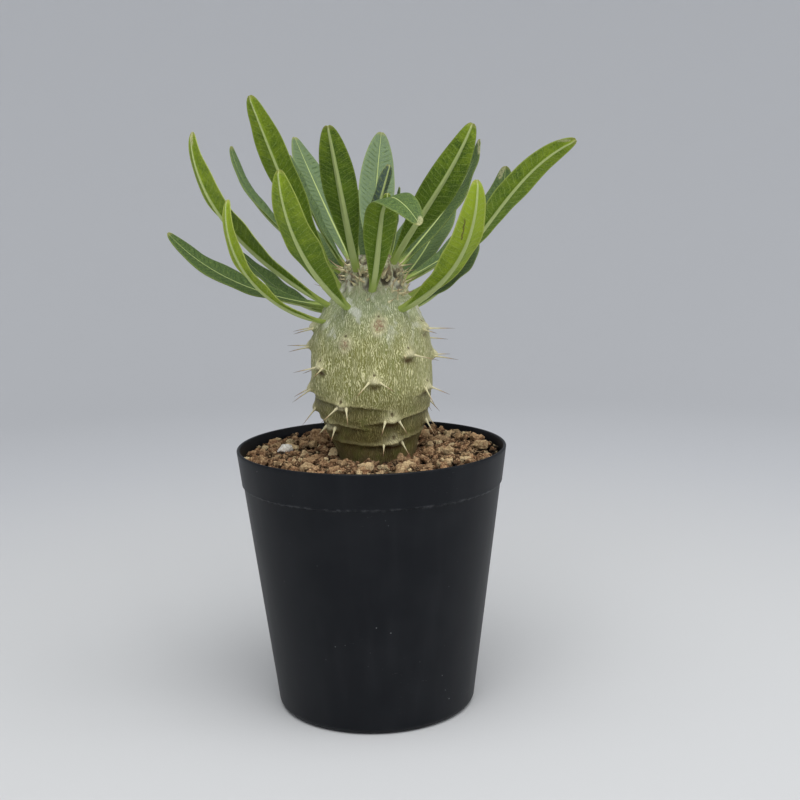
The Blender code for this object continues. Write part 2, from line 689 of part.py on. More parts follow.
def build_stone(name, values, parts, cutters, material):
    """One stone half sunk in the soil, and the dent that it lies in."""
    x, y, half_x, half_y, half_z, turn = values
    made = []
    for lift in (0.0, GAP / MM):
        shape = bmesh.new()
        bmesh.ops.create_icosphere(shape, subdivisions=2, radius=1.0)
        middle = Vector((x * MM, y * MM, soil_level(x * MM, y * MM) + STONE_RISE * half_z * MM))
        rotate = Matrix.Rotation(math.radians(turn), 3, "Z")
        for vertex in shape.verts:
            rough = 1 + STONE_ROUGHNESS * noise.noise(vertex.co * STONE_DETAIL + Vector((x, y, turn)))
            size = Vector((half_x + lift, half_y + lift, half_z + lift))
            vertex.co = middle + rotate @ (vertex.co * rough * size) * MM
        made.append(shape)
    stone = object_from_bmesh(name, made[0], parts, material)
    smooth(stone)
    dent = object_from_bmesh(f"{name}_dent_cutter", made[1], cutters)
    hide_cutter(dent)
    return dent


def main():
    """Build the whole plant in its pot."""
    clear_scene()
    parts = make_collection("potted_pachypodium")
    cutters = make_collection("cutters")
    plastic = make_material("black_plastic", (0.012, 0.013, 0.016), 0.38)
    earth = make_material("grain_soil", (0.24, 0.15, 0.09), 0.95)
    skin = make_material("stem_skin", (0.38, 0.36, 0.19), 0.6)
    green = make_material("leaf_green", (0.09, 0.2, 0.03), 0.42)
    pale = make_material("pale_stone", (0.62, 0.52, 0.38), 0.85)
    white = make_material("white_stone", (0.8, 0.78, 0.72), 0.8)
    tubercles = tubercle_list()

    build_pot(parts, cutters, plastic)
    stem_hole = build_stem_body("stem_hole_cutter", cutters, None, tubercles, lift=GAP / MM, relief=False)
    hide_cutter(stem_hole)
    dents = []
    for name, values in STONES.items():
        dents.append(build_stone(name, values, parts, cutters, white if name == "stone_white" else pale))
    build_soil(parts, cutters, earth, dents, stem_hole)
    build_caudex(parts, skin, tubercles)
    seat = build_stem_body("leaf_seat_cutter", cutters, None, tubercles, lift=GAP / MM)
    hide_cutter(seat)
    for name, leaf in LEAVES.items():
        build_leaf(name, leaf, parts, green, seat)


main()
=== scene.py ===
"""Looks of a young pachypodium in a black nursery pot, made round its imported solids.

Laid out as an add-on: property groups hold the sizes and colours, and each operator makes one piece or one
group of like pieces. Shapes are worked out in millimetres and stored in metres, +Z up, with -Y the front.
"""

import math
from collections import namedtuple
from itertools import product

import bmesh
import bpy
import numpy as np
from bpy.props import FloatProperty, FloatVectorProperty, IntProperty, PointerProperty
from mathutils import Matrix, Vector, noise


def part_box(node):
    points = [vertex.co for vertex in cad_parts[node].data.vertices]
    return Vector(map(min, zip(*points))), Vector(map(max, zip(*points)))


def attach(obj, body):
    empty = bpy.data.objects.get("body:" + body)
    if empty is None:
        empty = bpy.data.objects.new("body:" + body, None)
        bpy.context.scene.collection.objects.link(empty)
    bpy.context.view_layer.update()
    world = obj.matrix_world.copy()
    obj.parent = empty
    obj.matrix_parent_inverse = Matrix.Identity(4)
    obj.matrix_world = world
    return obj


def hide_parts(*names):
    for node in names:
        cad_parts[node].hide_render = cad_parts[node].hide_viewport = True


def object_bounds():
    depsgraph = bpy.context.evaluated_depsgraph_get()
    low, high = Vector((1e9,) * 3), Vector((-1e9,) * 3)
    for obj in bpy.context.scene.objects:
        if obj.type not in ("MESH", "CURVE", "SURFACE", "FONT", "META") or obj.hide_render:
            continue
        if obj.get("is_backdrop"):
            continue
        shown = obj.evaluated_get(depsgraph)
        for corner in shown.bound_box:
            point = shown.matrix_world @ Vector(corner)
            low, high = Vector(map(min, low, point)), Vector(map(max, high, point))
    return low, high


bl_info = {
    "name": "Potted pachypodium",
    "version": (1, 0, 0),
    "blender": (4, 5, 0),
    "location": "View3D > Sidebar > Plant",
    "description": "Makes a potted pachypodium and a plain studio",
    "category": "Object",
}

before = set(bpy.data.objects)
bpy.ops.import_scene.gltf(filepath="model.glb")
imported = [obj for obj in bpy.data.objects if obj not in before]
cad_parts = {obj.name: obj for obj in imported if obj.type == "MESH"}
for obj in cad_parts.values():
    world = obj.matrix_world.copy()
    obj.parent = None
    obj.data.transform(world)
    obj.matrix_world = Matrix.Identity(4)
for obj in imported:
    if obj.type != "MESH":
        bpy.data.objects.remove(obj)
CAD_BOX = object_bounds()

MM = 0.001
FINE_GAP = 0.1
POT_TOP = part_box("pot")[1][2] / MM
RIM_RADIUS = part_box("pot")[1][0] / MM
SOIL_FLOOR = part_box("soil")[0][2] / MM

# Pot, in millimetres
BAND_HEIGHT = 13.8
BAND_FOOT = POT_TOP - BAND_HEIGHT
BAND_BOTTOM_RADIUS = 50.9
BAND_STEP = 0.6
BAND_EDGE = 0.35
FOOT_RADIUS = 38.8
FOOT_ROUND = 3.0
WALL = 1.2
POT_FLOOR = 1.8
LIP_ROUND = 0.6
INNER_CORNER = 2.0
POT_STEPS = 180
DRAIN_HOLES = 6
DRAIN_RING = 23
DRAIN_RADIUS = 3.2
DRAIN_SIDES = 32
DRAIN_TURN = 0.11
CAP_RADIUS = DRAIN_RING / 9

# Soil, in millimetres
SOIL_LEVEL = 100.4
SOIL_RISE_RIGHT = 0.8
SOIL_RISE_BACK = 0.9
BED_DROP = 3.6
BED_STEPS = 160
# Grain numbers of the bed: tone, paleness and a low height, so that the finish paints it with shade
BED_GRAIN = (0.2, 0.0, -0.22)
GRAIN_FACETS = 8
GRAIN_CUT = 0.7
GRAIN_RISES = (-2.0, 0.8)
GRAIN_TONE = (0.66, 0.32)
GRAIN_PALE = 0.17
CRUMB_SPACING = 2.2
CRUMB_RISES = (-2.3, -0.5)
SOIL_RINGS = 40

# Stem: radius against height, from the buried foot to the crown, in millimetres
STEM_PROFILE = (
    (82, 5.0), (86, 9.0), (91, 12.2), (96, 14.2), (101, 15.4), (105, 16.8), (109, 18.6), (113, 20.0),
    (117, 21.3), (122, 22.6), (127, 23.3), (132, 23.4), (137, 23.3), (142, 23.1), (146, 22.6), (150, 21.5),
    (154, 19.4), (158, 17.0), (162, 14.6), (166, 12.5), (170, 11.4), (173, 10.2), (175, 8.4), (176.5, 5.4),
    (177.2, 2.2),
)
STEM_AXIS_SHIFT = 0.7
STEM_BOW = 1.4
STEM_BOW_MIDDLE = 138
STEM_BOW_REACH = 38
STEM_COLUMNS = 400
STEM_STEP = 0.42
STEM_FINE_ABOVE = 97
STEM_WIDEST = 23
CROWN_KNOBS = 1.3
STEM_FOOT_ROWS = 6

# Growth ledges low on the stem: height at the front, rise towards the right and depth (mm), then the side
# that each is deepest on and how far it reaches to both sides of that (degrees)
LEDGES = (
    (121.9, -3.4, 0.7, -86, 30), (121.2, -2.3, 0.9, -38, 50), (112.2, -3.0, 1.0, -50, 42),
    (106.3, -1.0, 0.5, -25, 40), (123.5, 2.0, 0.6, 68, 26), (115.3, 3.4, 0.9, 42, 52),
    (106.5, 3.5, 1.2, 38, 52), (117.5, 0.0, 0.8, 150, 60), (111.0, 1.5, 0.9, -150, 55),
    (107.0, 0.0, 0.8, 135, 50),
)
LEDGE_EDGE = 0.8
LEDGE_FADE = 6.0
LEDGE_LIP = 2.0
LEDGE_LIP_SHARE = 0.35
# How strong the painted highlight on the ledges' lips is
LEDGE_LIP_HIGHLIGHT = 0.8
LEDGE_WANDER = 0.5
RELIEF_START = 102
RELIEF_FADE = 3

# Tubercles: a spiral from the crown down (mm and degrees), and how far some rose and turned off it as they grew
TUBERCLES = 31
TUBERCLE_TOP = 160.5
TUBERCLE_DROP = 1.85
TUBERCLE_TURN = 138
TUBERCLE_START = -42
TUBERCLE_WANDER = {
    1: (-0.5, -6), 3: (-2.5, -4), 5: (-1.4, -14), 8: (0, -7), 10: (0.5, 10), 11: (0.6, 0), 13: (-0.5, -7),
    14: (3.4, 2), 16: (0.5, -4), 18: (-1, -10), 19: (2, 1), 21: (-0.5, -7), 23: (0.5, 16), 24: (0, -12),
    26: (0, -2), 27: (3.1, -4), 29: (0, 21),
}
TUBERCLE_HIDDEN = (0, 2, 4)
TUBERCLE_BARE = (1, 3, 8)
TUBERCLE_HEIGHT = 2.1
TUBERCLE_WIDTH = 2.7
TUBERCLE_WIDEN = 0.8
TUBERCLE_ABOVE = 2.6
TUBERCLE_BELOW = 1.5
BARE_SHARE = 0.6
# Ring radius of each bare leaf scar (mm); then how large some tubercles and pits are, and how strong the
# painted brown shade in the hollow under some tubercles is
SCAR_RINGS = {1: 2.4, 3: 2.7, 8: 2.2}
TUBERCLE_SIZES = {14: 1.35, 6: 1.1, 5: 1.15}
TUBERCLE_PITS = {21: 1.35, 24: 1.4, 29: 1.15, 13: 1.1, 11: 1.0, 6: 1.1}
TUBERCLE_HOLLOWS = {
    6: 0.5, 11: 0.95, 13: 1.0, 14: 0.6, 16: 0.6, 18: 0.5, 19: 0.8, 21: 0.3, 24: 0.9, 26: 0.5, 27: 0.6,
    29: 1.0,
}
SCAR_DOT_ASIDE = math.degrees(1.1 / 19)
SCAR_DOT_RISE = 0.9
PIT_RISE = 2.8
PIT_RADIUS = 0.62
PIT_DEPTH = 0.8
UNDERCUT_DROP = 2.0
UNDERCUT_DEPTH = 0.7

# Spines, two to a tubercle, in millimetres and degrees. Lower down they stand wider apart, droop more and are
# shorter: each of these three has its heights, then its values there
SPREAD_LEAST = 2.1
SPINE_SPREAD = ((108, 121), (3.6, SPREAD_LEAST))
SPINE_DROOP = ((118, 140), (46, 4))
SPINE_LENGTH = ((112, 130), (5.6, 9.4))
SPINE_FOOT_SHARE = 0.45
SPINE_SPLAY = 33
SPINE_SPLAY_WANDER = 6
SPINE_RISE_WANDER = 8
SPINE_LOWEST = 106
SPINE_LENGTH_WANDER = 1.2
SPINE_RADIUS = 0.38
SPINE_FLARE = 0.85
SPINE_FLARE_LENGTH = 1.1
SPINE_SUNK = 1.4
SPINE_BEND = 0.35
SPINE_SEED = 3
SPINE_SIDES = 10
SPINE_RINGS = 9

# Spines beside the leaf roots: side (degrees), height (mm), plan direction and rise (degrees), length (mm)
CROWN_SPINES = (
    (-92, 163.5, -92, 22, 9), (-98, 165.5, -100, 30, 8), (-88, 171.0, -84, 44, 9), (-20, 168.5, -66, 34, 7),
    (82, 173.0, 82, 46, 8), (86, 166.5, 90, 26, 7), (50, 163.0, 66, 16, 5), (90, 158.5, 84, 34, 6),
    (152, 162.0, 146, 20, 7), (182, 165.0, 186, 22, 7), (214, 163.0, 208, 18, 7),
    (238, 166.0, 244, 28, 8), (20, 170.5, 34, 40, 6), (158, 172.0, 160, 42, 7),
)

# Leaves from leaf_01 on: the root's side (degrees from the front towards +X) and height on the crown (mm), the
# plan direction at base and tip, the rise above level at base, middle and tip, length and width (mm), the roll
# at base and tip, the fold of each half and the backward curl of the outer part (degrees), then how bright the
# skin is, how grey the bloom of its upper side is and how yellow its margin is, from 0 to 1
Leaf = namedtuple("Leaf", "side height turn_base turn_tip rise_base rise_mid rise_tip length width "
                          "roll_base roll_tip fold curl bright bloom margin")
LEAVES = {f"leaf_{number:02}": Leaf(*row) for number, row in enumerate((
    (-94, 158, -97, -94, 6, 23, 50, 69, 14, -16, -20, 13, 0, 0.3, 0.1, 0.2),
    (-74, 158, -68, -84, 33, 47, 92, 85, 16, -10, 29, 26, 0, 0.54, 0.3, 0.8),
    (-60, 153, -64, -57, 12, 47, 101, 65, 9, 1, 11, 15, 0, 0.74, 0.3, 0.9),
    (-108, 156, -116, -116, 3, 31, 45, 46, 14, 0, 0, 22, 0, 0.25, 0.1, 0.2),
    (-113, 169, -109, -118, 31, 42, 79, 70, 10, 12, 2, 20, 0, 0.4, 0.35, 0.2),
    (-74, 164, -68, -61, 55, 66, 68, 78, 15.5, 10, 28, 13, 0, 0.52, 0.3, 0.35),
    (-32, 158, -28, -32, 27, 44, 88, 70, 16.5, -5, -8, 28, 0, 0.52, 0.3, 0.6),
    (-40, 171, -11, -9, 46, 50, 46, 68, 12.5, 5, 8, 24, 0, 0.37, 0.3, 0.2),
    (-129, 172, -149, -146, 45, 49, 53, 66, 13.5, -21, 10, 11, 0, 0.4, 0.65, 0.2),
    (0, 164, 10, 47, 33, 70, 18, 63, 13.5, -17, 28, 4, 74, 0.5, 0.15, 0.2),
    (183, 172, 176, 164, 32, 51, 64, 68, 15, 6, 26, 23, 0, 0.4, 0.85, 0.2),
    (190, 174, 91, 86, 90, 75, 74, 36, 8, -1, -50, 24, 0, 0.05, 1.0, 0.2),
    (60, 173, 34, 48, 48, 44, 63, 67, 12, -35, -55, 8, 0, 0.4, 0.1, 0.2),
    (111, 170, 127, 117, 45, 45, 75, 65, 15.5, 30, -17, 16, 0, 0.15, 0.15, 0.2),
    (76, 162, 74, 64, 18, 51, 20, 86, 13.5, -3, -49, 8, 0, 0.46, 0.3, 0.4),
    (39, 157, 42, 15, 22, 42, 88, 68, 14.5, -20, 16, 23, 0, 0.76, 0.3, 0.8),
    (97, 166, 104, 101, 27, 39, 89, 63, 15, 10, 40, 21, 0, 0.4, 0.3, 0.2),
    (-105, 171, -108, -108, 51, 64, 69, 48, 9, 0, 0, 22, 0, 0.4, 0.4, 0.2),
    (140, 163, 150, 152, 18, 34, 48, 66, 15, 6, 0, 20, 0, 0.4, 0.3, 0.2),
    (166, 158, 164, 160, 12, 30, 45, 70, 15, -6, 4, 20, 0, 0.4, 0.3, 0.2),
    (192, 164, 186, 182, 22, 36, 50, 64, 14, 4, 0, 22, 0, 0.4, 0.3, 0.2),
    (216, 158, 200, 196, 12, 28, 44, 60, 15, 0, -8, 20, 0, 0.4, 0.3, 0.2),
    (122, 156, 130, 138, 10, 32, 50, 46, 14, 0, 6, 22, 0, 0.4, 0.3, 0.2),
    (30, 175, 30, 20, 68, 78, 84, 24, 6, 0, 0, 30, 0, 0.25, 0.3, 0.2),
    (112, 175, 112, 100, 70, 80, 86, 26, 6, 0, 0, 30, 0, 0.25, 0.3, 0.2),
    (-85, 175, -90, -95, 70, 80, 84, 22, 6, 0, 0, 30, 0, 0.4, 0.3, 0.2),
), 1)}
# Marks on the blades: from and to (mm along the blade and across it), half width (mm), then 1 for pale and
# -1 for brown
LEAF_MARKS = {
    "leaf_16": ((56.5, -3.2), (48.4, -2.4), 0.25, -1),
    "leaf_14": ((66.0, 0.0), (61.5, -4.2), 0.9, 1),
    "leaf_10": ((65.5, -0.5), (63.0, 1.5), 0.8, 1),
    "leaf_17": ((65.0, 1.0), (61.0, 2.0), 0.9, 1),
    "leaf_15": ((86.0, -1.0), (83.0, -3.0), 0.5, 1),
    "leaf_02": ((87.0, 0.0), (83.0, 0.0), 0.5, 1),
}
LEAF_ROWS = 110
YOUNG_ROWS = 50
YOUNG_LENGTH = 30
GROWN_LENGTH = 50
LEAF_COLUMNS = 26
BLADE = 0.55
LEAF_RIB = 1.9
RIB_SHARE = 0.17
RIB_HALF = 0.76
PETIOLE_HALF = 1.5
PETIOLE_SHARE = 0.2
PETIOLE_END = 0.09
TIP_HALF = 0.7
FOLD_EASE = 0.35
CURL_START = 0.48
CURL_END = 0.8
WAVE_HEIGHT = 0.35
WAVES = 3.5
WAVE_OFFSET = 1.3
BLADE_WANDER = 0.45
MIDRIB_GROOVE = 0.3
EDGE_DROOP = 0.5
VEIN_SPACING = 2.4
VEIN_SLANT = 0.5
VEIN_RELIEF = 0.1
VEIN_WANDER = 0.45
ROOT_DEPTH = 2.2
BOSS_HEIGHT = 0.9
BOSS_WIDTH = 2.4
BOSS_DROP = 0.8

# Dry shards of old stipules among the leaf roots: how many, their heights and lengths (mm), their seed
SHARDS = 120
SHARD_HEIGHTS = (160, 175)
SHARD_LENGTHS = (2.0, 7.0)
SHARD_SEED = 9

# Stones on the soil: middle (mm from the axis), half sizes (mm), turn (degrees)
STONES = {
    "stone_white": (-34, 6, 3.4, 2.6, 2.2, 20),
    "stone_tan": (-22, 26, 4.4, 3.6, 3.6, 50),
    "stone_pale_1": (11, -32, 3.4, 2.4, 2.0, 80),
    "stone_pale_2": (43, 2, 3.0, 2.4, 2.2, 10),
    "stone_pale_3": (-24, -24, 3.2, 2.2, 1.8, 140),
}
STONE_RISE = 0.3
STONE_ROUGHNESS = 0.22
STONE_DETAIL = 1.3
STONE_FACETS = 14
STONE_CUT = 0.8

# Camera: in metres and degrees, and the lens in millimetres on a 36 mm sensor
CAMERA_PLACE = (0.0, -0.488965, 0.204468)
CAMERA_YAW = 1.34
CAMERA_DIP = 9.71
CAMERA_ROLL = -1.08
CAMERA_LENS = 57.35

# Studio: radius of the level floor, radius of the bend up to its wall and height of the wall's top (mm)
FLOOR_FLAT = 700
FLOOR_BEND = 700
WALL_TOP = 900
FLOOR_STEPS = 128

# Colours of the finishes that no setting holds, with channels from 0 to 255
COLOURS = {
    # On the next line, the second colour is a painted highlight on the grains' tops and the third is painted
    # shade low down on them and on the bed
    "clay powder": (224, 194, 150), "clay crest": (214, 182, 138), "soil gap": (16, 11, 8),
    # The second colour of each stone is a darker mottle and also painted shade in its pits
    "white stone": (244, 242, 236), "white stone shade": (206, 198, 186),
    "pale stone": (206, 182, 140), "pale stone shade": (138, 108, 78),
    "tan stone": (196, 162, 122), "tan stone shade": (128, 98, 70),
    "high groove": (140, 150, 110), "green groove": (128, 138, 68),
    "low ridge": (168, 156, 98), "green ridge": (190, 192, 128),
    # On the next line, the first colour is painted light on the stem's right side and the third painted shade
    # under the ledges
    "sunny skin": (206, 202, 156), "tubercle crest": (230, 222, 180), "ledge shade": (74, 64, 34),
    # On the next line, the first colour is a painted highlight on the ledges' lips and the second painted brown
    # shade under the tubercles
    "ledge lip": (210, 202, 148), "hollow": (88, 62, 34), "scar cork": (220, 208, 170),
    "skin dirt": (132, 112, 82), "crown scale": (214, 204, 172), "crown cork": (108, 84, 56),
    # On the next line, the first colour is painted shade in the crown's crevices, the second painted shade in
    # the pits, also the real brown dots of bare scars
    "crown crevice": (52, 40, 26), "pit": (84, 68, 42),
    "spine root": (222, 214, 172), "spine middle": (178, 148, 110), "spine tip": (108, 80, 60),
    "dry spine": (176, 156, 128),
    "young blade": (84, 102, 100), "upper blade": (74, 104, 34), "side vein": (158, 178, 92),
    "vein net": (150, 168, 80), "margin": (178, 190, 92), "petiole": (162, 182, 92),
    "blade tip": (168, 164, 96), "dry mark": (190, 188, 142), "brown mark": (86, 66, 38),
}


def display(red, green, blue):
    """Linear colour of a display colour whose channels run from 0 to 255."""
    shares = [channel / 255 for channel in (red, green, blue)]
    return tuple(s / 12.92 if s <= 0.04045 else ((s + 0.055) / 1.055) ** 2.4 for s in shares)


def paint(colour):
    """A named or plain colour with full alpha, as sockets want it, or a socket as it is."""
    if isinstance(colour, bpy.types.NodeSocket):
        return colour
    linear = display(*COLOURS[colour]) if isinstance(colour, str) else colour
    return (*tuple(linear)[:3], 1.0)


# Sizes and colours that a user would change


def colour_property(name, description, red, green, blue):
    """A colour property with a display colour as its default."""
    return FloatVectorProperty(name=name, description=description, subtype="COLOR", size=3, min=0.0, max=1.0,
                               default=display(red, green, blue))


def share_property(name, description, default):
    """A property that runs from 0 to 1."""
    return FloatProperty(name=name, description=description, default=default, min=0.0, max=1.0,
                         subtype="FACTOR")


def length_property(name, description, default, low, high):
    """A length whose default and limits are given in millimetres."""
    return FloatProperty(name=name, description=description, default=default * MM, min=low * MM,
                         max=high * MM, precision=5, subtype="DISTANCE", unit="LENGTH")


def power_property(name, description, default):
    """The power of a light in watts."""
    return FloatProperty(name=name, description=description, default=default, min=0.0, subtype="POWER",
                         unit="POWER")


class PotSettings(bpy.types.PropertyGroup):
    """Finish of the moulded pot."""

    plastic: colour_property("Plastic", "Colour of the moulded plastic", 6, 10, 17)
    dust: colour_property("Dust", "Colour of dust and scuffs", 150, 152, 155)
    roughness: share_property("Roughness", "Roughness of the clean plastic", 0.36)
    dusting: share_property("Dusting", "How much of the dust and scuffs shows", 0.5)


class SoilSettings(bpy.types.PropertyGroup):
    """Grains and colours of the potting mix."""

    brown: colour_property("Brown", "Colour of the commonest grains", 156, 119, 88)
    # The dark colour is the damp grains' own tone, and also painted shade in the pits and in the bed
    dark: colour_property("Dark", "Colour of the damp grains and of the gaps below", 38, 26, 18)
    pale: colour_property("Pale", "Colour of the pumice grains", 230, 208, 164)
    spacing: length_property("Grain spacing", "Mean distance between grains", 2.9, 1.0, 6.0)
    seed: IntProperty(name="Seed", description="Seed of the grains' places and shapes", default=11, min=0)


class StemSettings(bpy.types.PropertyGroup):
    """Skin of the barrel-shaped stem."""

    olive: colour_property("Olive", "Colour of the grooves at mid height", 136, 136, 74)
    line: colour_property("Wrinkle lines", "Colour of the raised wrinkles at mid height", 226, 222, 170)
    silver: colour_property("Silver", "Colour of the raised wrinkles near the crown", 206, 210, 176)
    wax: colour_property("Wax", "Colour of the waxy patches", 226, 227, 214)
    earth: colour_property("Earth", "Colour of the skin near the soil", 98, 88, 46)
    scar: colour_property("Scar", "Colour of bare leaf scars", 170, 134, 108)
    wrinkles: IntProperty(name="Wrinkles", description="How many upright wrinkles go round the stem",
                          default=178, min=20, max=400)
    wrinkle: length_property("Wrinkle height", "Height of the fine wrinkles", 0.26, 0.0, 1.0)


class LeafSettings(bpy.types.PropertyGroup):
    """Skin of the leaves."""

    deep: colour_property("Deep", "Darkest green of a blade", 40, 68, 14)
    green: colour_property("Green", "Common green of a blade's underside", 88, 118, 10)
    bright: colour_property("Bright", "Sunlit yellow-green", 152, 174, 36)
    bloom: colour_property("Bloom", "Grey-green bloom of the upper side", 118, 138, 110)
    rib: colour_property("Rib", "Colour of midribs and petioles", 184, 198, 128)


class StudioSettings(bpy.types.PropertyGroup):
    """Floor, backdrop and lights."""

    floor: colour_property("Floor", "Colour of the floor", 208, 209, 210)
    wall: colour_property("Wall", "Colour of the backdrop", 204, 206, 210)
    key_power: power_property("Key light", "Power of the large overhead light", 12.6)
    side_power: power_property("Side light", "Power of the light at the right", 2.0)
    sky: FloatProperty(name="Sky", description="Strength of the even light from all round", default=0.345,
                       min=0.0)


class PlantSettings(bpy.types.PropertyGroup):
    """All the settings of the plant, its pot and its studio."""

    pot: PointerProperty(type=PotSettings)
    soil: PointerProperty(type=SoilSettings)
    stem: PointerProperty(type=StemSettings)
    leaf: PointerProperty(type=LeafSettings)
    studio: PointerProperty(type=StudioSettings)


# Shader helpers


class Signal:
    """A number that varies over a surface. Arithmetic on it adds Math nodes."""

    def __init__(self, finish, socket):
        self.finish = finish
        self.socket = socket

    def maths(self, operation, *values, clamp=False):
        """A Math node on these values."""
        made = self.finish.node("ShaderNodeMath", {"operation": operation, "use_clamp": clamp},
                                dict(enumerate(values)))
        return Signal(self.finish, made.outputs[0])

    def __add__(self, other):
        return self.maths("ADD", self, other)

    def __radd__(self, other):
        return self.maths("ADD", other, self)

    def __sub__(self, other):
        return self.maths("SUBTRACT", self, other)

    def __rsub__(self, other):
        return self.maths("SUBTRACT", other, self)

    def __mul__(self, other):
        return self.maths("MULTIPLY", self, other)

    def __rmul__(self, other):
        return self.maths("MULTIPLY", other, self)

    def __truediv__(self, other):
        return self.maths("DIVIDE", self, other)

    def __abs__(self):
        return self.maths("ABSOLUTE", self)

    def fraction(self):
        """What is left over a whole number."""
        return self.maths("FRACT", self)

    def step(self, low, high):
        """Smooth step from 0 at low to 1 at high; high may be the smaller."""
        flip = high < low
        made = self.finish.node("ShaderNodeMapRange", {"interpolation_type": "SMOOTHSTEP"}, {
            "Value": self, "From Min": min(low, high), "From Max": max(low, high),
            "To Min": float(flip), "To Max": float(not flip),
        })
        return Signal(self.finish, made.outputs[0])


class Finish:
    """A material's nodes round one Principled shader."""

    def __init__(self, name, **constants):
        self.material = bpy.data.materials.new(name)
        self.material.use_nodes = True
        self.tree = self.material.node_tree
        self.shader = self.tree.nodes["Principled BSDF"]
        for socket, value in constants.items():
            self.shader.inputs[socket.replace("_", " ")].default_value = value

    def node(self, kind, settings=None, inputs=None):
        """Add a node: its settings first, then the values or links of its sockets."""
        made = self.tree.nodes.new(kind)
        for key, value in (settings or {}).items():
            setattr(made, key, value)
        for key, value in (inputs or {}).items():
            self.feed(made.inputs[key], value)
        return made

    def feed(self, socket, value):
        """Link a signal or socket, or set a plain value."""
        value = value.socket if isinstance(value, Signal) else value
        if isinstance(value, bpy.types.NodeSocket):
            self.tree.links.new(value, socket)
        else:
            socket.default_value = value

    def place(self, level=1.0, upright=None):
        """Coordinates on the object in millimetres, times a factor along the ground and one upright."""
        coordinates = self.node("ShaderNodeTexCoord").outputs["Object"]
        factors = [level / MM, level / MM, (upright or level) / MM]
        return self.node("ShaderNodeVectorMath", {"operation": "MULTIPLY"},
                         {0: coordinates, 1: factors}).outputs[0]

    def parts(self, vector):
        """The three numbers of a vector."""
        split = self.node("ShaderNodeSeparateXYZ", None, {0: vector})
        return [Signal(self, output) for output in split.outputs]

    def attribute(self, name):
        """The three numbers of a stored attribute."""
        return self.parts(self.node("ShaderNodeAttribute", {"attribute_name": name}).outputs["Vector"])

    def noise(self, level, upright=None, detail=2.0, roughness=0.5, distortion=0.0):
        """Noise from 0 to 1, with this many lumps to a millimetre along the ground and upright."""
        made = self.node("ShaderNodeTexNoise", None, {
            "Vector": self.place(level, upright), "Scale": 1.0, "Detail": detail, "Roughness": roughness,
            "Distortion": distortion,
        })
        return Signal(self, made.outputs[0])

    def cells(self, level, feature="F1"):
        """Distance to the nearest cell point, or to the edge between cells, of this many to a millimetre."""
        made = self.node("ShaderNodeTexVoronoi", {"feature": feature},
                         {"Vector": self.place(level), "Scale": 1.0})
        return Signal(self, made.outputs["Distance"])

    def mix(self, factor, first, second):
        """Blend two colours."""
        made = self.node("ShaderNodeMix", {"data_type": "RGBA"}, {0: factor, 6: paint(first), 7: paint(second)})
        return made.outputs[2]

    def layers(self, colour, *coats):
        """Lay colours over a first one in turn, each as thick as its factor."""
        for factor, coat in coats:
            colour = self.mix(factor, colour, coat)
        return colour

    def finished(self, colour, roughness, height=None, distance=0.0, strength=1.0):
        """The material with this colour and roughness, raised by a signal at a full height in metres."""
        self.feed(self.shader.inputs["Base Color"], colour)
        self.feed(self.shader.inputs["Roughness"], roughness)
        if height is not None:
            made = self.node("ShaderNodeBump", None,
                             {"Height": height, "Distance": distance, "Strength": strength})
            self.feed(self.shader.inputs["Normal"], made.outputs[0])
        return self.material


# Mesh helpers


def gradient_noise(points, seed=0):
    """Smooth noise of rows of coordinates, about -1 to 1, with one lump to a unit."""
    random = np.random.default_rng(seed)
    table = random.permutation(256)
    slopes = random.normal(size=(256, 3))
    slopes /= np.linalg.norm(slopes, axis=1)[:, None]
    cell = np.floor(points).astype(int)
    local = points - cell
    fade = local ** 3 * (local * (local * 6 - 15) + 10)
    total = np.zeros(len(points))
    for corner in product((0, 1), repeat=3):
        offset = np.array(corner)
        key = (cell + offset) & 255
        index = table[(table[(table[key[:, 0]] + key[:, 1]) & 255] + key[:, 2]) & 255]
        slope = (slopes[index] * (local - offset)).sum(1)
        total += np.prod(np.where(offset, fade, 1 - fade), axis=1) * slope
    return 1.5 * total


def grid_quads(rows, columns, wrapped=False, start=0):
    """Faces between the rows of a grid of points."""
    across = columns if wrapped else columns - 1
    row, column = np.meshgrid(np.arange(rows - 1), np.arange(across), indexing="ij")
    after = (column + 1) % columns
    corners = [row * columns + column, row * columns + after, (row + 1) * columns + after,
               (row + 1) * columns + column]
    return start + np.stack(corners, -1).reshape(-1, 4)


def mesh_piece(name, points, faces, material, attributes=None, sharp=None):
    """An object from points in millimetres, with stored attributes of three numbers a point."""
    mesh = bpy.data.meshes.new(name)
    mesh.from_pydata((np.asarray(points) * MM).tolist(), [], [tuple(face) for face in faces])
    for key, values in (attributes or {}).items():
        stored = mesh.attributes.new(key, "FLOAT_VECTOR", "POINT")
        stored.data.foreach_set("vector", np.ascontiguousarray(values, dtype=np.float32).ravel())
    mesh.materials.append(material)
    mesh.update()
    mesh.shade_smooth()
    if sharp is not None:
        mesh.set_sharp_from_angle(angle=math.radians(sharp))
    piece = bpy.data.objects.new(name, mesh)
    bpy.context.scene.collection.objects.link(piece)
    return piece


def dress(piece, slot, *nodes):
    """Say what a piece rides on and which nodes it stands for; the slot, naming the finish it wears, is not
    used.
    """
    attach(piece, "root")
    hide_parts(*nodes)


def smooth_step(value, low, high):
    """Smooth step of an array."""
    share = np.clip((value - low) / (high - low), 0.0, 1.0)
    return share * share * (3 - 2 * share)


def arc(middle, radius, start, end, count):
    """Points on an arc in the (radius, height) plane, angles in degrees."""
    angles = np.radians(np.linspace(start, end, count))
    return [(middle[0] + radius * math.cos(a), middle[1] + radius * math.sin(a)) for a in angles]


def around(angle, reach, height):
    """Points at an angle from the front towards +X (radians), a distance from the axis and a height."""
    return np.stack([reach * np.sin(angle), -reach * np.cos(angle), height], -1)


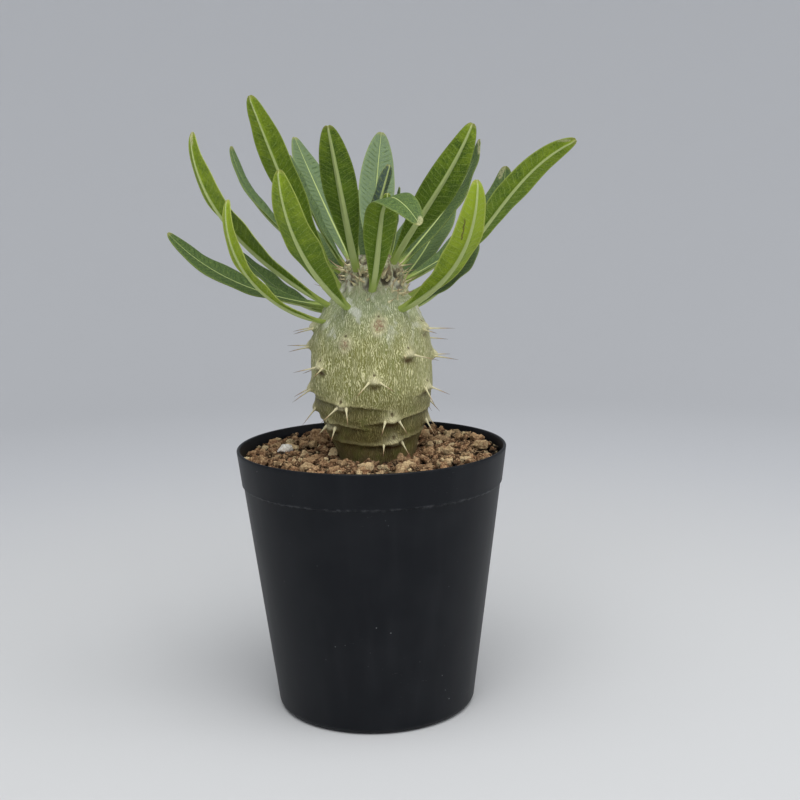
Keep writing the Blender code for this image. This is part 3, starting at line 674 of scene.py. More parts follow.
def ring_faces(rings, steps):
    """Faces between rings of points, then a cap on the first ring and one on the last."""
    last = rings * steps - 1
    caps = [tuple(range(steps)), tuple(range(last, last - steps, -1))]
    return [*grid_quads(rings, steps, wrapped=True), *caps]


def turned(outline, steps):
    """Points of a turned outline, ring by ring, and its faces, with both ends capped."""
    reach, height = (np.repeat(values[:, None], steps, 1) for values in np.array(outline, float).T)
    points = around(np.arange(steps) / steps * math.tau, reach, height).reshape(-1, 3)
    return points, ring_faces(len(outline), steps)


def half_turn(degrees):
    """The same angle between -180 and 180 degrees."""
    return (degrees + 180) % 360 - 180


# Pot


def wall_radius(height):
    """Outer radius of the tapered wall below the band."""
    return FOOT_RADIUS + (BAND_BOTTOM_RADIUS - BAND_STEP - FOOT_RADIUS) * height / BAND_FOOT


def inner_radius(height):
    """Inner radius of the pot: parallel to the tapered wall, then flared to the lip."""
    flare = RIM_RADIUS - 2 * LIP_ROUND - (wall_radius(BAND_FOOT) - WALL)
    reach = (height - BAND_FOOT) / (POT_TOP - LIP_ROUND - BAND_FOOT)
    return wall_radius(min(height, BAND_FOOT)) - WALL + flare * max(reach, 0.0)


def pot_outline():
    """Half section of the pot: up its inside, over the lip, down its outside and across the base."""
    lip_level = POT_TOP - LIP_ROUND
    inside = [(CAP_RADIUS, POT_FLOOR), (inner_radius(POT_FLOOR) - INNER_CORNER, POT_FLOOR)]
    inside += [(inner_radius(h), h) for h in np.linspace(POT_FLOOR + INNER_CORNER, BAND_FOOT, 12)]
    inside += [(inner_radius(h), h) for h in np.linspace(BAND_FOOT + 1, lip_level, 6)]
    lip = arc((RIM_RADIUS - LIP_ROUND, lip_level), LIP_ROUND, 180, 0, 11)[1:]
    band = [(RIM_RADIUS + (BAND_BOTTOM_RADIUS - RIM_RADIUS) * s, lip_level - s * (BAND_HEIGHT - 1.2))
            for s in np.linspace(0.1, 1.0, 8)]
    edge = arc((BAND_BOTTOM_RADIUS - BAND_EDGE, BAND_FOOT + BAND_EDGE), BAND_EDGE, 0, -80, 6)
    step = [(BAND_BOTTOM_RADIUS - BAND_STEP, BAND_FOOT - 0.15)]
    wall = [(wall_radius(h), h) for h in np.linspace(BAND_FOOT - 1, FOOT_ROUND, 24)]
    foot = arc((wall_radius(FOOT_ROUND) - FOOT_ROUND, FOOT_ROUND), FOOT_ROUND, 0, -90, 9)[1:]
    return inside + lip + band + edge + step + wall + foot + [(CAP_RADIUS, 0.0)]


def plastic_finish(settings):
    """Black moulded plastic, satin, with streaks, dust specks and a few scuffs."""
    look = Finish("pot_plastic_finish", Specular_IOR_Level=0.21)
    streaks = look.noise(0.16, 0.012, detail=3)
    mottle = look.noise(0.05, detail=4)
    specks = look.cells(0.23).step(0.075, 0.03) * look.noise(0.04).step(0.5, 0.62)
    scuffs = look.noise(0.5, 2.6, detail=5, distortion=1.2).step(0.66, 0.76)
    scuffs = scuffs * look.noise(0.035, 0.05, detail=1).step(0.56, 0.7)
    haze = mottle.step(0.35, 0.75) * 0.012 + streaks.step(0.45, 0.8) * 0.012
    height = look.parts(look.place())[2]
    seam = abs(height - BAND_FOOT).step(0.9, 0.1) * look.noise(0.5, detail=4).step(0.42, 0.66)
    dust = (specks * 0.5 + scuffs * 0.2 + seam * 0.16 + haze) * (2 * settings.dusting)
    colour = look.mix(dust, settings.plastic, settings.dust)
    roughness = settings.roughness + streaks * 0.12 + mottle * 0.08 + dust * 0.4
    return look.finished(colour, roughness, look.noise(3.0) * 0.35 + streaks, 0.05 * MM, 0.5)


class PLANT_OT_pot(bpy.types.Operator):
    """Make the moulded pot with its lip, band, rounded foot and drain holes"""

    bl_idname = "plant.pot"
    bl_label = "Pot"

    def execute(self, context):
        finish = plastic_finish(context.scene.plant.pot)
        pot = mesh_piece("pot_shell", *turned(pot_outline(), POT_STEPS), finish)
        recalculate(pot)
        for index in range(DRAIN_HOLES):
            drill_drain(pot, math.tau * index / DRAIN_HOLES + DRAIN_TURN)
        pot.data.shade_smooth()
        pot.data.set_sharp_from_angle(angle=math.radians(42))
        dress(pot, "pot_plastic", "pot")
        return {"FINISHED"}


def recalculate(piece):
    """Point a piece's faces outwards."""
    shape = bmesh.new()
    shape.from_mesh(piece.data)
    bmesh.ops.recalc_face_normals(shape, faces=shape.faces[:])
    shape.to_mesh(piece.data)
    shape.free()


def drill_drain(pot, angle):
    """Cut one drain hole through the pot's floor and apply the cut."""
    place = Matrix.Translation((DRAIN_RING * MM * math.cos(angle), DRAIN_RING * MM * math.sin(angle), 0.0))
    shape = bmesh.new()
    bmesh.ops.create_cone(shape, cap_ends=True, segments=DRAIN_SIDES, radius1=DRAIN_RADIUS * MM,
                          radius2=DRAIN_RADIUS * MM, depth=4 * POT_FLOOR * MM, matrix=place)
    mesh = bpy.data.meshes.new("drain")
    shape.to_mesh(mesh)
    shape.free()
    drill = bpy.data.objects.new("drain", mesh)
    bpy.context.scene.collection.objects.link(drill)
    cut = pot.modifiers.new("Drain", "BOOLEAN")
    cut.operation = "DIFFERENCE"
    cut.object = drill
    graph = bpy.context.evaluated_depsgraph_get()
    result = bpy.data.meshes.new_from_object(pot.evaluated_get(graph))
    pot.modifiers.clear()
    pot.data = result
    bpy.data.objects.remove(drill, do_unlink=True)


# Soil and stones


def soil_level(x, y):
    """Mean height of the soil, a little higher at the right and behind."""
    return SOIL_LEVEL + (SOIL_RISE_RIGHT * x + SOIL_RISE_BACK * y) / RIM_RADIUS


def soil_finish(settings):
    """Baked-clay grains: each grain's own tone, powdery and pitted, with painted shade in the pits and where
    each grain dips into the bed, and a painted highlight on their tops.
    """
    look = Finish("potting_mix_finish", Specular_IOR_Level=0.15)
    tone, pale, rise = look.attribute("grain")
    powder = look.noise(1.1, detail=5, roughness=0.65)
    pits = look.noise(2.2, detail=4).step(0.5, 0.32)
    colour = look.layers(
        settings.dark,
        (tone + (powder - 0.5) * 1.7, settings.brown),
        (pale, settings.pale),
        (powder.step(0.5, 0.68) * 0.6, "clay powder"),
        # painted shade in the pits
        (pits * 0.45, settings.dark),
        # painted highlight on the tops of the grains
        (rise.step(0.35, 0.75) * 0.35, "clay crest"),
        # painted shade low down on the grains, in the gaps between them and on the bed
        (rise.step(0.2, -0.34), "soil gap"),
    )
    return look.finished(colour, 0.88 + powder * 0.1, powder + pits * -0.5, 0.4 * MM, 0.9)


def lump_points(subdivisions):
    """Points and triangles of a unit ball."""
    shape = bmesh.new()
    bmesh.ops.create_icosphere(shape, subdivisions=subdivisions, radius=1.0)
    points = np.array([vertex.co[:] for vertex in shape.verts])
    faces = np.array([[vertex.index for vertex in face.verts] for face in shape.faces])
    shape.free()
    return points, faces


def facet_cut(ball, seed, count, cut):
    """How far each point of a unit ball is pulled in by random flat cuts."""
    facets = np.random.default_rng(seed).normal(size=(count, 3))
    facets /= np.linalg.norm(facets, axis=1)[:, None]
    return np.minimum(cut / np.maximum(ball @ facets.T, 0.01), 1.0).min(1)


def grain_places(random, spacing, lowest, highest):
    """Jittered places of grains, with each grain's radius and its rise above the mean surface."""
    count = int(2 * RIM_RADIUS / spacing) + 4
    steps = (np.arange(count) - count / 2) * spacing
    x, y = np.meshgrid(steps, steps * math.sqrt(3) / 2 * 1.15, indexing="ij")
    x = x + (np.arange(count) % 2)[None, :] * spacing / 2
    places = np.stack([x.ravel(), y.ravel()], -1)
    places += random.uniform(-0.42, 0.42, places.shape) * spacing
    radius = spacing * np.clip(0.5 * np.exp(random.normal(0, 0.32, len(places))), 0.28, 1.05)
    rise = random.uniform(lowest, highest, len(places))
    lift = 0.7 * gradient_noise(np.column_stack([places / 11, np.zeros(len(places))]), 11)
    keep = grain_allowed(places, radius)
    return places[keep], radius[keep], (rise + lift)[keep]


def grain_allowed(places, radius):
    """Which grains lie inside the pot's wall, off the stem and off the named stones."""
    stem = np.hypot(places[:, 0] - stem_axis(SOIL_LEVEL), places[:, 1])
    allowed = np.hypot(*places.T) + radius < inner_radius(SOIL_LEVEL) - FINE_GAP
    allowed &= stem > stem_radius(SOIL_LEVEL) - 0.2 * radius
    for x, y, half_x, half_y, _, _ in STONES.values():
        allowed &= np.hypot(places[:, 0] - x, places[:, 1] - y) > 0.8 * max(half_x, half_y) + 0.4 * radius
    return allowed


def soil_bed(finish):
    """The body of the mix below the loose grains, painted dark with the shade of the gaps."""
    outer = inner_radius(SOIL_LEVEL) - FINE_GAP
    rings = [(radius, SOIL_LEVEL - BED_DROP) for radius in np.linspace(1.0, outer, SOIL_RINGS)]
    low = POT_FLOOR + INNER_CORNER + 1
    sides = [(inner_radius(h) - FINE_GAP, h) for h in np.linspace(SOIL_LEVEL - 4, low, 8)]
    base = [(inner_radius(POT_FLOOR) - INNER_CORNER - FINE_GAP, SOIL_FLOOR), (1.0, SOIL_FLOOR)]
    points, faces = turned(rings + sides + base, BED_STEPS)
    top = np.arange(len(points)) < SOIL_RINGS * BED_STEPS
    rough = 0.8 * gradient_noise(points / 1.9, 5) + 0.9 * gradient_noise(points / 5.0, 6)
    slope = soil_level(points[:, 0], points[:, 1]) - SOIL_LEVEL
    points[top, 2] += (rough + slope)[top]
    grain = np.tile(BED_GRAIN, (len(points), 1))
    bed = mesh_piece("soil_bed", points, faces, finish, {"grain": grain}, sharp=50)
    recalculate(bed)
    dress(bed, "potting_mix", "soil")


def grain_piece(name, subdivisions, random, spacing, places, radius, rise, finish):
    """Rough, angular balls of many sizes and tones in one piece."""
    ball, triangles = lump_points(subdivisions)
    boxy = ball / (np.abs(ball) ** 4).sum(1)[:, None] ** 0.25
    count = len(places)
    tone = np.clip(random.normal(*GRAIN_TONE, count), 0.05, 1)
    pale = np.where(random.random(count) < GRAIN_PALE, random.uniform(0.4, 1.0, count), 0.0)
    points, faces, grain = [], [], []
    for index, (x, y) in enumerate(places):
        squash = random.uniform((0.75, 0.75, 0.6), (1.2, 1.2, 1.0))
        turn = np.array(Matrix.Rotation(random.uniform(0, math.tau), 3, random.normal(size=3)))
        rough = 1 + 0.36 * gradient_noise(ball * 1.3 + index * 7.3, 3)
        rough += 0.24 * gradient_noise(ball * 2.9 + index, 4)
        rough *= facet_cut(ball, index, GRAIN_FACETS, GRAIN_CUT)
        shape = (boxy * rough[:, None] * squash) @ turn.T * radius[index]
        faces.append(triangles + len(points) * len(ball))
        points.append(shape + (x, y, soil_level(x, y) + rise[index] - 0.35 * radius[index]))
        # Height of each point, which the finish paints with a highlight on top and with shade low down
        lift = (shape[:, 2] + rise[index]) / spacing
        grain.append(np.stack([np.full_like(lift, tone[index]), np.full_like(lift, pale[index]), lift], -1))
    piece = mesh_piece(name, np.concatenate(points), np.concatenate(faces), finish,
                       {"grain": np.concatenate(grain)}, sharp=32)
    dress(piece, "potting_mix", "soil")


def soil_grains(settings, finish):
    """The loose grains in two pieces, and the small crumbs between them in a third."""
    random = np.random.default_rng(settings.seed)
    spacing = settings.spacing / MM
    large = grain_places(random, spacing, *GRAIN_RISES)
    for part, name in enumerate(("soil_grains_a", "soil_grains_b")):
        grain_piece(name, 3, random, spacing, *(values[part::2] for values in large), finish)
    small = grain_places(random, CRUMB_SPACING, *CRUMB_RISES)
    grain_piece("soil_crumbs", 2, random, spacing, *small, finish)


class PLANT_OT_soil(bpy.types.Operator):
    """Make the potting mix: a bed painted dark with shade, with loose grains on it"""

    bl_idname = "plant.soil"
    bl_label = "Soil"

    def execute(self, context):
        settings = context.scene.plant.soil
        finish = soil_finish(settings)
        soil_bed(finish)
        soil_grains(settings, finish)
        return {"FINISHED"}


def stone_finish(kind):
    """Pumice of a named colour with a darker mottle, pitted, with painted shade in the pits."""
    look = Finish(f"{kind}_stone_finish", Specular_IOR_Level=0.25)
    grain = look.noise(1.1, detail=6, roughness=0.6)
    pits = look.cells(1.7).step(0.34, 0.1)
    shade = f"{kind} stone shade"
    # The darker colour is a mottle, and over the pits painted shade
    colour = look.layers(shade, (grain.step(0.35, 0.7), f"{kind} stone"), (pits * 0.5, shade))
    return look.finished(colour, 0.8 + grain * 0.15, grain - pits * 0.5, 0.3 * MM, 0.7)


class PLANT_OT_stones(bpy.types.Operator):
    """Make the larger stones that lie on the soil"""

    bl_idname = "plant.stones"
    bl_label = "Stones"

    def execute(self, context):
        finishes = {kind: stone_finish(kind) for kind in ("white", "pale", "tan")}
        ball, triangles = lump_points(5)
        for name, (x, y, half_x, half_y, half_z, turn) in STONES.items():
            rough = np.array([noise.noise(Vector(p) * STONE_DETAIL + Vector((x, y, turn))) for p in ball])
            rough = 1 + STONE_ROUGHNESS * rough + 0.05 * gradient_noise(ball * 4 + x, 8)
            rough *= 1.06 * facet_cut(ball, turn, STONE_FACETS, STONE_CUT)
            rotate = np.array(Matrix.Rotation(math.radians(turn), 3, "Z"))
            shape = (ball * rough[:, None] * (half_x, half_y, half_z)) @ rotate.T
            middle = (x, y, soil_level(x, y) + STONE_RISE * half_z)
            kind = name.split("_")[1]
            piece = mesh_piece(f"{name}_fine", shape + middle, triangles, finishes[kind])
            dress(piece, "white_stone" if kind == "white" else "pale_stone", name)
        return {"FINISHED"}


# Stem


def stem_radius(height):
    """Smooth radius of the stem at a height or an array of heights, in millimetres."""
    heights, radii = np.array(STEM_PROFILE, float).T
    index = np.clip(np.searchsorted(heights, height) - 1, 0, len(heights) - 2)
    before = np.maximum(index - 1, 0)
    after = np.minimum(index + 2, len(heights) - 1)
    span = heights[index + 1] - heights[index]
    s = np.clip((height - heights[index]) / span, 0.0, 1.0)
    slope_a = (radii[index + 1] - radii[before]) / (heights[index + 1] - heights[before]) * span
    slope_b = (radii[after] - radii[index]) / (heights[after] - heights[index]) * span
    return (
        (2 * s ** 3 - 3 * s ** 2 + 1) * radii[index] + (s ** 3 - 2 * s ** 2 + s) * slope_a
        + (3 * s ** 2 - 2 * s ** 3) * radii[index + 1] + (s ** 3 - s ** 2) * slope_b
    )


def stem_axis(height):
    """Sideways shift of the stem's axis at a height, in millimetres."""
    return STEM_AXIS_SHIFT + STEM_BOW * ((height - STEM_BOW_MIDDLE) / STEM_BOW_REACH) ** 2


def stem_point(side, height, lift=0.0):
    """Point on the stem's smooth surface, in millimetres."""
    reach = stem_radius(height) + lift
    angle = math.radians(side)
    return np.array([stem_axis(height) + reach * math.sin(angle), -reach * math.cos(angle), height])


def tubercle_list():
    """Sides and heights of the tubercles that show."""
    places = {}
    for index in range(TUBERCLES):
        rise, turn = TUBERCLE_WANDER.get(index, (0, 0))
        side = TUBERCLE_START + TUBERCLE_TURN * index + turn
        if index not in TUBERCLE_HIDDEN:
            places[index] = (half_turn(side), TUBERCLE_TOP - TUBERCLE_DROP * index + rise)
    return places


def surface_offset(side, height, place, reach):
    """How far points are to the side of a place of the surface and above it, in millimetres."""
    return np.radians(half_turn(side - place[0])) * reach, height - place[1]


def bump(side, height, place, reach, width, above, below=None):
    """Rounded rise at a place of the surface, from 0 to 1; it may fall off otherwise below than above."""
    across, up = surface_offset(side, height, place, reach)
    return np.exp(-((across / width) ** 2) - (up / np.where(up > 0, above, below or above)) ** 2)


def ledge_relief(side, height):
    """Depth of the growth ledges, and how far each point lies in their painted shade, or below 0 on their lips,
    which get a painted highlight.
    """
    relief = np.zeros(len(side))
    shade = np.zeros(len(side))
    angle = np.radians(side)
    turns = np.linspace(-math.pi, math.pi, 181)
    for front, tilt, depth, middle, span in LEDGES:
        wander = [noise.noise(Vector((2 * math.sin(a), front, 2 * math.cos(a)))) for a in turns]
        below = front + tilt * np.sin(angle) + LEDGE_WANDER * np.interp(angle, turns, wander) - height
        deep = np.exp(-((half_turn(side - middle) / span) ** 4))
        under = (below > 0) & (below < LEDGE_FADE)
        slope = deep * np.clip(below / LEDGE_EDGE, 0, 1) * (1 - below / LEDGE_FADE)
        relief -= np.where(under, depth * slope, 0)
        shade += np.where(under, np.abs(slope) ** 1.5, 0)
        lip = (below <= 0) & (below > -LEDGE_LIP)
        lip_slope = np.where(lip, deep * (1 + below / LEDGE_LIP), 0)
        relief += LEDGE_LIP_SHARE * depth * lip_slope
        # the lips get a painted highlight
        shade -= LEDGE_LIP_HIGHLIGHT * lip_slope
    return relief, shade


def scar_relief(side, height, place, reach, ring):
    """A round leaf scar: its own height, its pale ring and its inside."""
    across, up = surface_offset(side, height, (place[0], place[1] - 0.4), reach)
    turn = np.arctan2(up, across)
    far = np.hypot(across, up) * (1 + 0.1 * np.sin(2 * turn + ring) + 0.07 * np.sin(5 * turn + 3 * ring))
    rim = np.exp(-(((far - ring) / 0.65) ** 2))
    inside = smooth_step(far, ring - 0.2, ring - 1.4)
    return 0.4 * rim - 0.25 * inside, 0.75 * rim, inside


def stem_relief(side, height, tubercles):
    """Height of the skin above the smooth stem, and the marks that its finish reads."""
    reach = stem_radius(height)

    def at(place, *sizes):
        return bump(side, height, place, reach, *sizes)

    total, shade = ledge_relief(side, height)
    pit, brown, crest, scar = (np.zeros(len(side)) for _ in range(4))
    for index, place in tubercles.items():
        bare = index in TUBERCLE_BARE
        size = BARE_SHARE if bare else TUBERCLE_SIZES.get(index, 1.0)
        width = TUBERCLE_WIDTH + TUBERCLE_WIDEN * (np.interp(place[1], *SPINE_SPREAD) - SPREAD_LEAST)
        total += size * TUBERCLE_HEIGHT * at(place, width, TUBERCLE_ABOVE, TUBERCLE_BELOW)
        hollow = at((place[0], place[1] - UNDERCUT_DROP), 0.85 * width, 1.2, 1.0)
        eye_place = (place[0], place[1] + PIT_RISE)
        eye_size = PIT_RADIUS * TUBERCLE_PITS.get(index, 1.0)
        eye = at(eye_place, eye_size, eye_size)
        rim = at(eye_place, 2 * eye_size, 2 * eye_size)
        total += 0.3 * rim - PIT_DEPTH * eye - (0.2 if bare else 1.0) * UNDERCUT_DEPTH * hollow
        # the pit above each tubercle is painted with shade
        pit = np.maximum(pit, eye)
        top = at((place[0], place[1] + 0.7), 0.95 * width, 2.0, 1.3)
        crest = np.maximum(crest, np.maximum(top, 0.9 * (rim - eye)))
        if bare:
            ring_relief, ring, inside = scar_relief(side, height, place, reach, SCAR_RINGS[index])
            total += ring_relief
            crest = np.maximum(crest * (1 - inside), ring)
            scar = np.maximum(scar, inside)
            for hand in (-1, 1):
                spot = (place[0] + hand * SCAR_DOT_ASIDE, place[1] + SCAR_DOT_RISE)
                # the two dots of a bare scar are real brown spots
                pit = np.maximum(pit, 0.6 * at(spot, 0.6, 0.5))
        else:
            # painted brown shade in the hollow under the tubercle
            brown = np.maximum(brown, TUBERCLE_HOLLOWS.get(index, 0.25) * hollow)
    for leaf in LEAVES.values():
        total += BOSS_HEIGHT * at((leaf.side, leaf.height - BOSS_DROP), BOSS_WIDTH, BOSS_WIDTH)
    fade = np.clip((height - RELIEF_START) / RELIEF_FADE, 0, 1)
    marks = np.stack([pit, brown, crest], -1) * fade[:, None]
    return total * fade, marks, shade * fade, scar


def stem_rows():
    """Heights of the stem's rows from top to bottom, evenly spaced along its outline where it shows."""
    low = STEM_PROFILE[0][0]
    high = STEM_PROFILE[-1][0]
    dense = np.linspace(high, STEM_FINE_ABOVE, 4000)
    along = np.concatenate([[0], np.cumsum(np.hypot(np.diff(dense), np.diff(stem_radius(dense))))])
    rows = int(along[-1] / STEM_STEP)
    fine = np.interp(np.linspace(0, along[-1], rows + 1), along, dense)
    return np.concatenate([fine, np.linspace(STEM_FINE_ABOVE, low, STEM_FOOT_ROWS + 1)[1:]])


def skin_finish(settings):
    """Living bark: upright wavy wrinkles, olive, silvery and waxy near the crown, earthy low down; with painted
    light on the right side, painted shade under the ledges and tubercles, in the crown's crevices and in the
    pits, and a painted highlight on the ledges' lips.
    """
    look = Finish("stem_skin_finish", Specular_IOR_Level=0.3)
    pit, brown, crest = look.attribute("marks")
    shade, scar, knob = look.attribute("growth")
    east, north, height = look.parts(look.place())
    patchy = look.noise(0.09, 0.07, detail=3)
    level = height + (patchy - 0.5) * 16
    high = level.step(140, 161)
    low = level.step(134, 108)

    turn = east.maths("ARCTAN2", east, 0 - north)
    slow = look.noise(0.24, 0.16)
    quick = look.noise(0.95, 0.85, detail=1)
    cycles = turn * (settings.wrinkles / math.tau) + slow * 5 + quick * 1.6
    wave = cycles.maths("COSINE", cycles * math.tau)
    broken = look.noise(0.8, 0.5)
    fine = look.noise(2.2, 1.3)
    lines = (wave * 0.5 + (broken - 0.5) * 1.5 + (fine - 0.5) * 1.3).step(-0.35, 0.6)

    tint = look.noise(0.2, 0.14, detail=3)
    groove = look.layers(
        settings.olive,
        (high, "high groove"),
        (low, settings.earth),
        (tint.step(0.45, 0.7) * 0.4, "green groove"),
    )
    ridge = look.layers(
        settings.line,
        (high, settings.silver),
        (low, "low ridge"),
        (tint.step(0.55, 0.35) * 0.3, "green ridge"),
    )
    contrast = (broken.step(0.3, 0.6) * 0.4 + 0.6) * (1 - low * 0.45)
    wax = look.noise(0.17, 0.13, detail=4).step(0.55, 0.66) * level.step(143, 157)
    blotch = look.noise(1.3, detail=3).step(0.35, 0.6)
    dirt = level.step(107, 100) * look.noise(0.7, detail=4).step(0.35, 0.62)
    crown = height.step(162, 169)
    colour = look.layers(
        groove,
        (lines * contrast * (1 - brown * 0.5), ridge),
        (wax * (lines * 0.35 + 0.55), settings.wax),
        # painted light on the right side
        (east.step(4, 24) * (1 - low) * 0.2, "sunny skin"),
        (crest * (fine * 0.5 + 0.5), "tubercle crest"),
        (shade * (patchy * 0.9 + 0.1), "ledge shade"),
        # painted highlight on the ledges' lips
        (shade.step(0, -0.8) * (fine * 0.7 + 0.1), "ledge lip"),
        # painted brown shade in the hollows under the tubercles
        (brown * (fine * 0.6 + 0.7), "hollow"),
        (scar * (blotch * 0.75 + 0.05), settings.scar),
        (scar * (1 - blotch) * 0.6, "scar cork"),
        (dirt * 0.55, "skin dirt"),
        (crown * blotch * 0.6, "crown scale"),
        (crown * broken.step(0.48, 0.6) * 0.7, "crown cork"),
        # painted shade in the crown's crevices
        (knob * 0.9, "crown crevice"),
        # painted shade in the pits, also the real brown dots of bare scars
        (pit.step(0.2, 0.9) * 0.85, "pit"),
    )
    return look.finished(colour, 0.62 - lines * 0.08 + dirt * 0.2, lines, settings.wrinkle)


def stem_skin(settings, tubercles):
    """The stem's skin as a fine turned surface with ledges, tubercles, pits and leaf bosses."""
    heights = stem_rows()
    side = np.arange(STEM_COLUMNS) / STEM_COLUMNS * 360 - 180
    high, sides = (grid.ravel() for grid in np.meshgrid(heights, side, indexing="ij"))
    relief, marks, shade, scar = stem_relief(sides, high, tubercles)
    slope = (stem_radius(high + 0.05) - stem_radius(high - 0.05)) / 0.1
    out = 1 / np.hypot(1, slope)
    angle = np.radians(sides)
    barrel = around(angle, STEM_WIDEST, high)
    rough = 0.16 * gradient_noise(barrel * (0.42, 0.42, 0.2), 21)
    rough += 0.07 * gradient_noise(barrel * (0.75, 0.75, 0.3), 22)
    crown = smooth_step(high, 161, 168)
    knobs = gradient_noise(around(angle, stem_radius(high), high) / 3.1, 23)
    rough += crown * CROWN_KNOBS * knobs
    relief += rough * np.clip((high - 100) / 4, 0, 1)
    # The third number is how deep a point lies in the crown's crevices, which the finish paints with shade
    growth = np.stack([shade, scar, crown * smooth_step(-knobs, 0.12, 0.5)], -1)
    points = around(angle, stem_radius(high) + relief * out, high - relief * slope * out)
    points[:, 0] += stem_axis(high)
    skin = mesh_piece("stem_skin", points, ring_faces(len(heights), STEM_COLUMNS), skin_finish(settings),
                      {"marks": marks, "growth": growth})
    recalculate(skin)
    dress(skin, "stem_skin", "caudex")


def direction(side, rise):
    """Unit direction from a plan direction and a rise, in degrees."""
    turn = math.radians(side)
    up = math.radians(rise)
    return np.array([math.sin(turn) * math.cos(up), -math.cos(turn) * math.cos(up), math.sin(up)])


def spine_mesh(foot, way, length, radius, bend):
    """Points, faces and the share along of one tapered spine with a flared, sunken root."""
    level = np.cross(way, (0.0, 0.0, 1.0))
    level /= np.linalg.norm(level)
    upright = np.cross(level, way)
    share = np.linspace(0, 1, SPINE_RINGS) ** 1.2
    along = -SPINE_SUNK + share * (length + SPINE_SUNK)
    flare = SPINE_FLARE * np.exp(-((along + 0.4) / SPINE_FLARE_LENGTH) ** 2)
    reach = radius * (1 - share ** 1.15 * 0.93) + radius * flare
    sag = -bend * share ** 2
    angle = np.arange(SPINE_SIDES) / SPINE_SIDES * math.tau
    ring = np.cos(angle)[:, None] * level + np.sin(angle)[:, None] * upright
    middle = foot + along[:, None] * way + sag[:, None] * np.array([0.0, 0.0, 1.0])
    points = (middle[:, None, :] + reach[:, None, None] * ring[None]).reshape(-1, 3)
    tip = middle[-1] + way * 0.25
    last = (SPINE_RINGS - 1) * SPINE_SIDES
    faces = [tuple(face) for face in grid_quads(SPINE_RINGS, SPINE_SIDES, wrapped=True)]
    faces += [(last + i, last + (i + 1) % SPINE_SIDES, len(points)) for i in range(SPINE_SIDES)]
    faces.append(tuple(range(SPINE_SIDES - 1, -1, -1)))
    store = np.concatenate([np.repeat(share, SPINE_SIDES), [1.0]])
    return np.vstack([points, tip]), faces, store


def stem_spines(tubercles):
    """Foot, direction, length, radius and dryness of every spine and shard; the solids have the same spines."""
    random = np.random.default_rng(SPINE_SEED)
    for index, (side, height) in tubercles.items():
        splay_draw, left_draw, right_draw, length_draw = random.uniform(-1, 1, 4)
        if index in TUBERCLE_BARE or height < SPINE_LOWEST:
            continue
        spread, droop, length = (np.interp(height, *table)
                                 for table in (SPINE_SPREAD, SPINE_DROOP, SPINE_LENGTH))
        for hand, rise_draw in ((-1, left_draw), (1, right_draw)):
            foot_side = side + hand * math.degrees(spread / stem_radius(height))
            foot = stem_point(foot_side, height, TUBERCLE_HEIGHT * SPINE_FOOT_SHARE)
            turn = side + hand * (SPINE_SPLAY + SPINE_SPLAY_WANDER * splay_draw)
            way = direction(turn, SPINE_RISE_WANDER * rise_draw - droop)
            yield foot, way, length + SPINE_LENGTH_WANDER * length_draw * hand, SPINE_RADIUS, 0.0
    for side, height, turn, rise, length in CROWN_SPINES:
        yield stem_point(side, height), direction(turn, rise), length, SPINE_RADIUS * 0.9, 1.0
    random = np.random.default_rng(SHARD_SEED)
    for _ in range(SHARDS):
        side = random.uniform(-180, 180)
        height = random.uniform(*SHARD_HEIGHTS)
        way = direction(side + random.uniform(-35, 35), random.uniform(5, 65))
        length = random.uniform(*SHARD_LENGTHS)
        radius = SPINE_RADIUS * random.uniform(0.6, 1.1)
        yield stem_point(side, height), way, length, radius, random.uniform(0.4, 1)


def spine_finish():
    """Spines: cream at the root, then tan, with thin brown tips; the crown's are browner and drier."""
    look = Finish("spine_finish", Specular_IOR_Level=0.4)
    along, dry, _ = look.attribute("thorn")
    flecks = look.noise(1.2, detail=3)
    colour = look.layers(
        "spine root",
        ((along + (flecks - 0.5) * 0.3).step(0.4, 0.75), "spine middle"),
        ((along + (flecks - 0.5) * 0.2).step(0.65, 0.95), "spine tip"),
        (dry * flecks.step(0.35, 0.65) * 0.6, "dry spine"),
    )
    return look.finished(colour, 0.5 + flecks * 0.2, flecks, 0.08 * MM, 0.5)


def spine_piece(tubercles):
    """All the spines in one piece."""
    points, faces, thorn, used = [], [], [], 0
    for foot, way, length, radius, dry in stem_spines(tubercles):
        spine_points, spine_faces, share = spine_mesh(foot, way, length, radius, SPINE_BEND)
        points.append(spine_points)
        faces += [tuple(corner + used for corner in face) for face in spine_faces]
        thorn.append(np.stack([share, np.full(len(share), dry), np.zeros(len(share))], -1))
        used += len(spine_points)
    spines = mesh_piece("stem_spines", np.concatenate(points), faces, spine_finish(),
                        {"thorn": np.concatenate(thorn)}, sharp=60)
    dress(spines, "stem_skin", "caudex")


class PLANT_OT_stem(bpy.types.Operator):
    """Make the stem's skin and its spines"""

    bl_idname = "plant.stem"
    bl_label = "Stem"

    def execute(self, context):
        tubercles = tubercle_list()
        stem_skin(context.scene.plant.stem, tubercles)
        spine_piece(tubercles)
        return {"FINISHED"}


# Leaves


def leaf_width(share):
    """Half width of a blade along its length, as a share of the widest."""
    wave = np.clip(np.sin(math.pi * share ** 1.35), 0, None)
    return wave ** (1.2 - 0.58 * share)


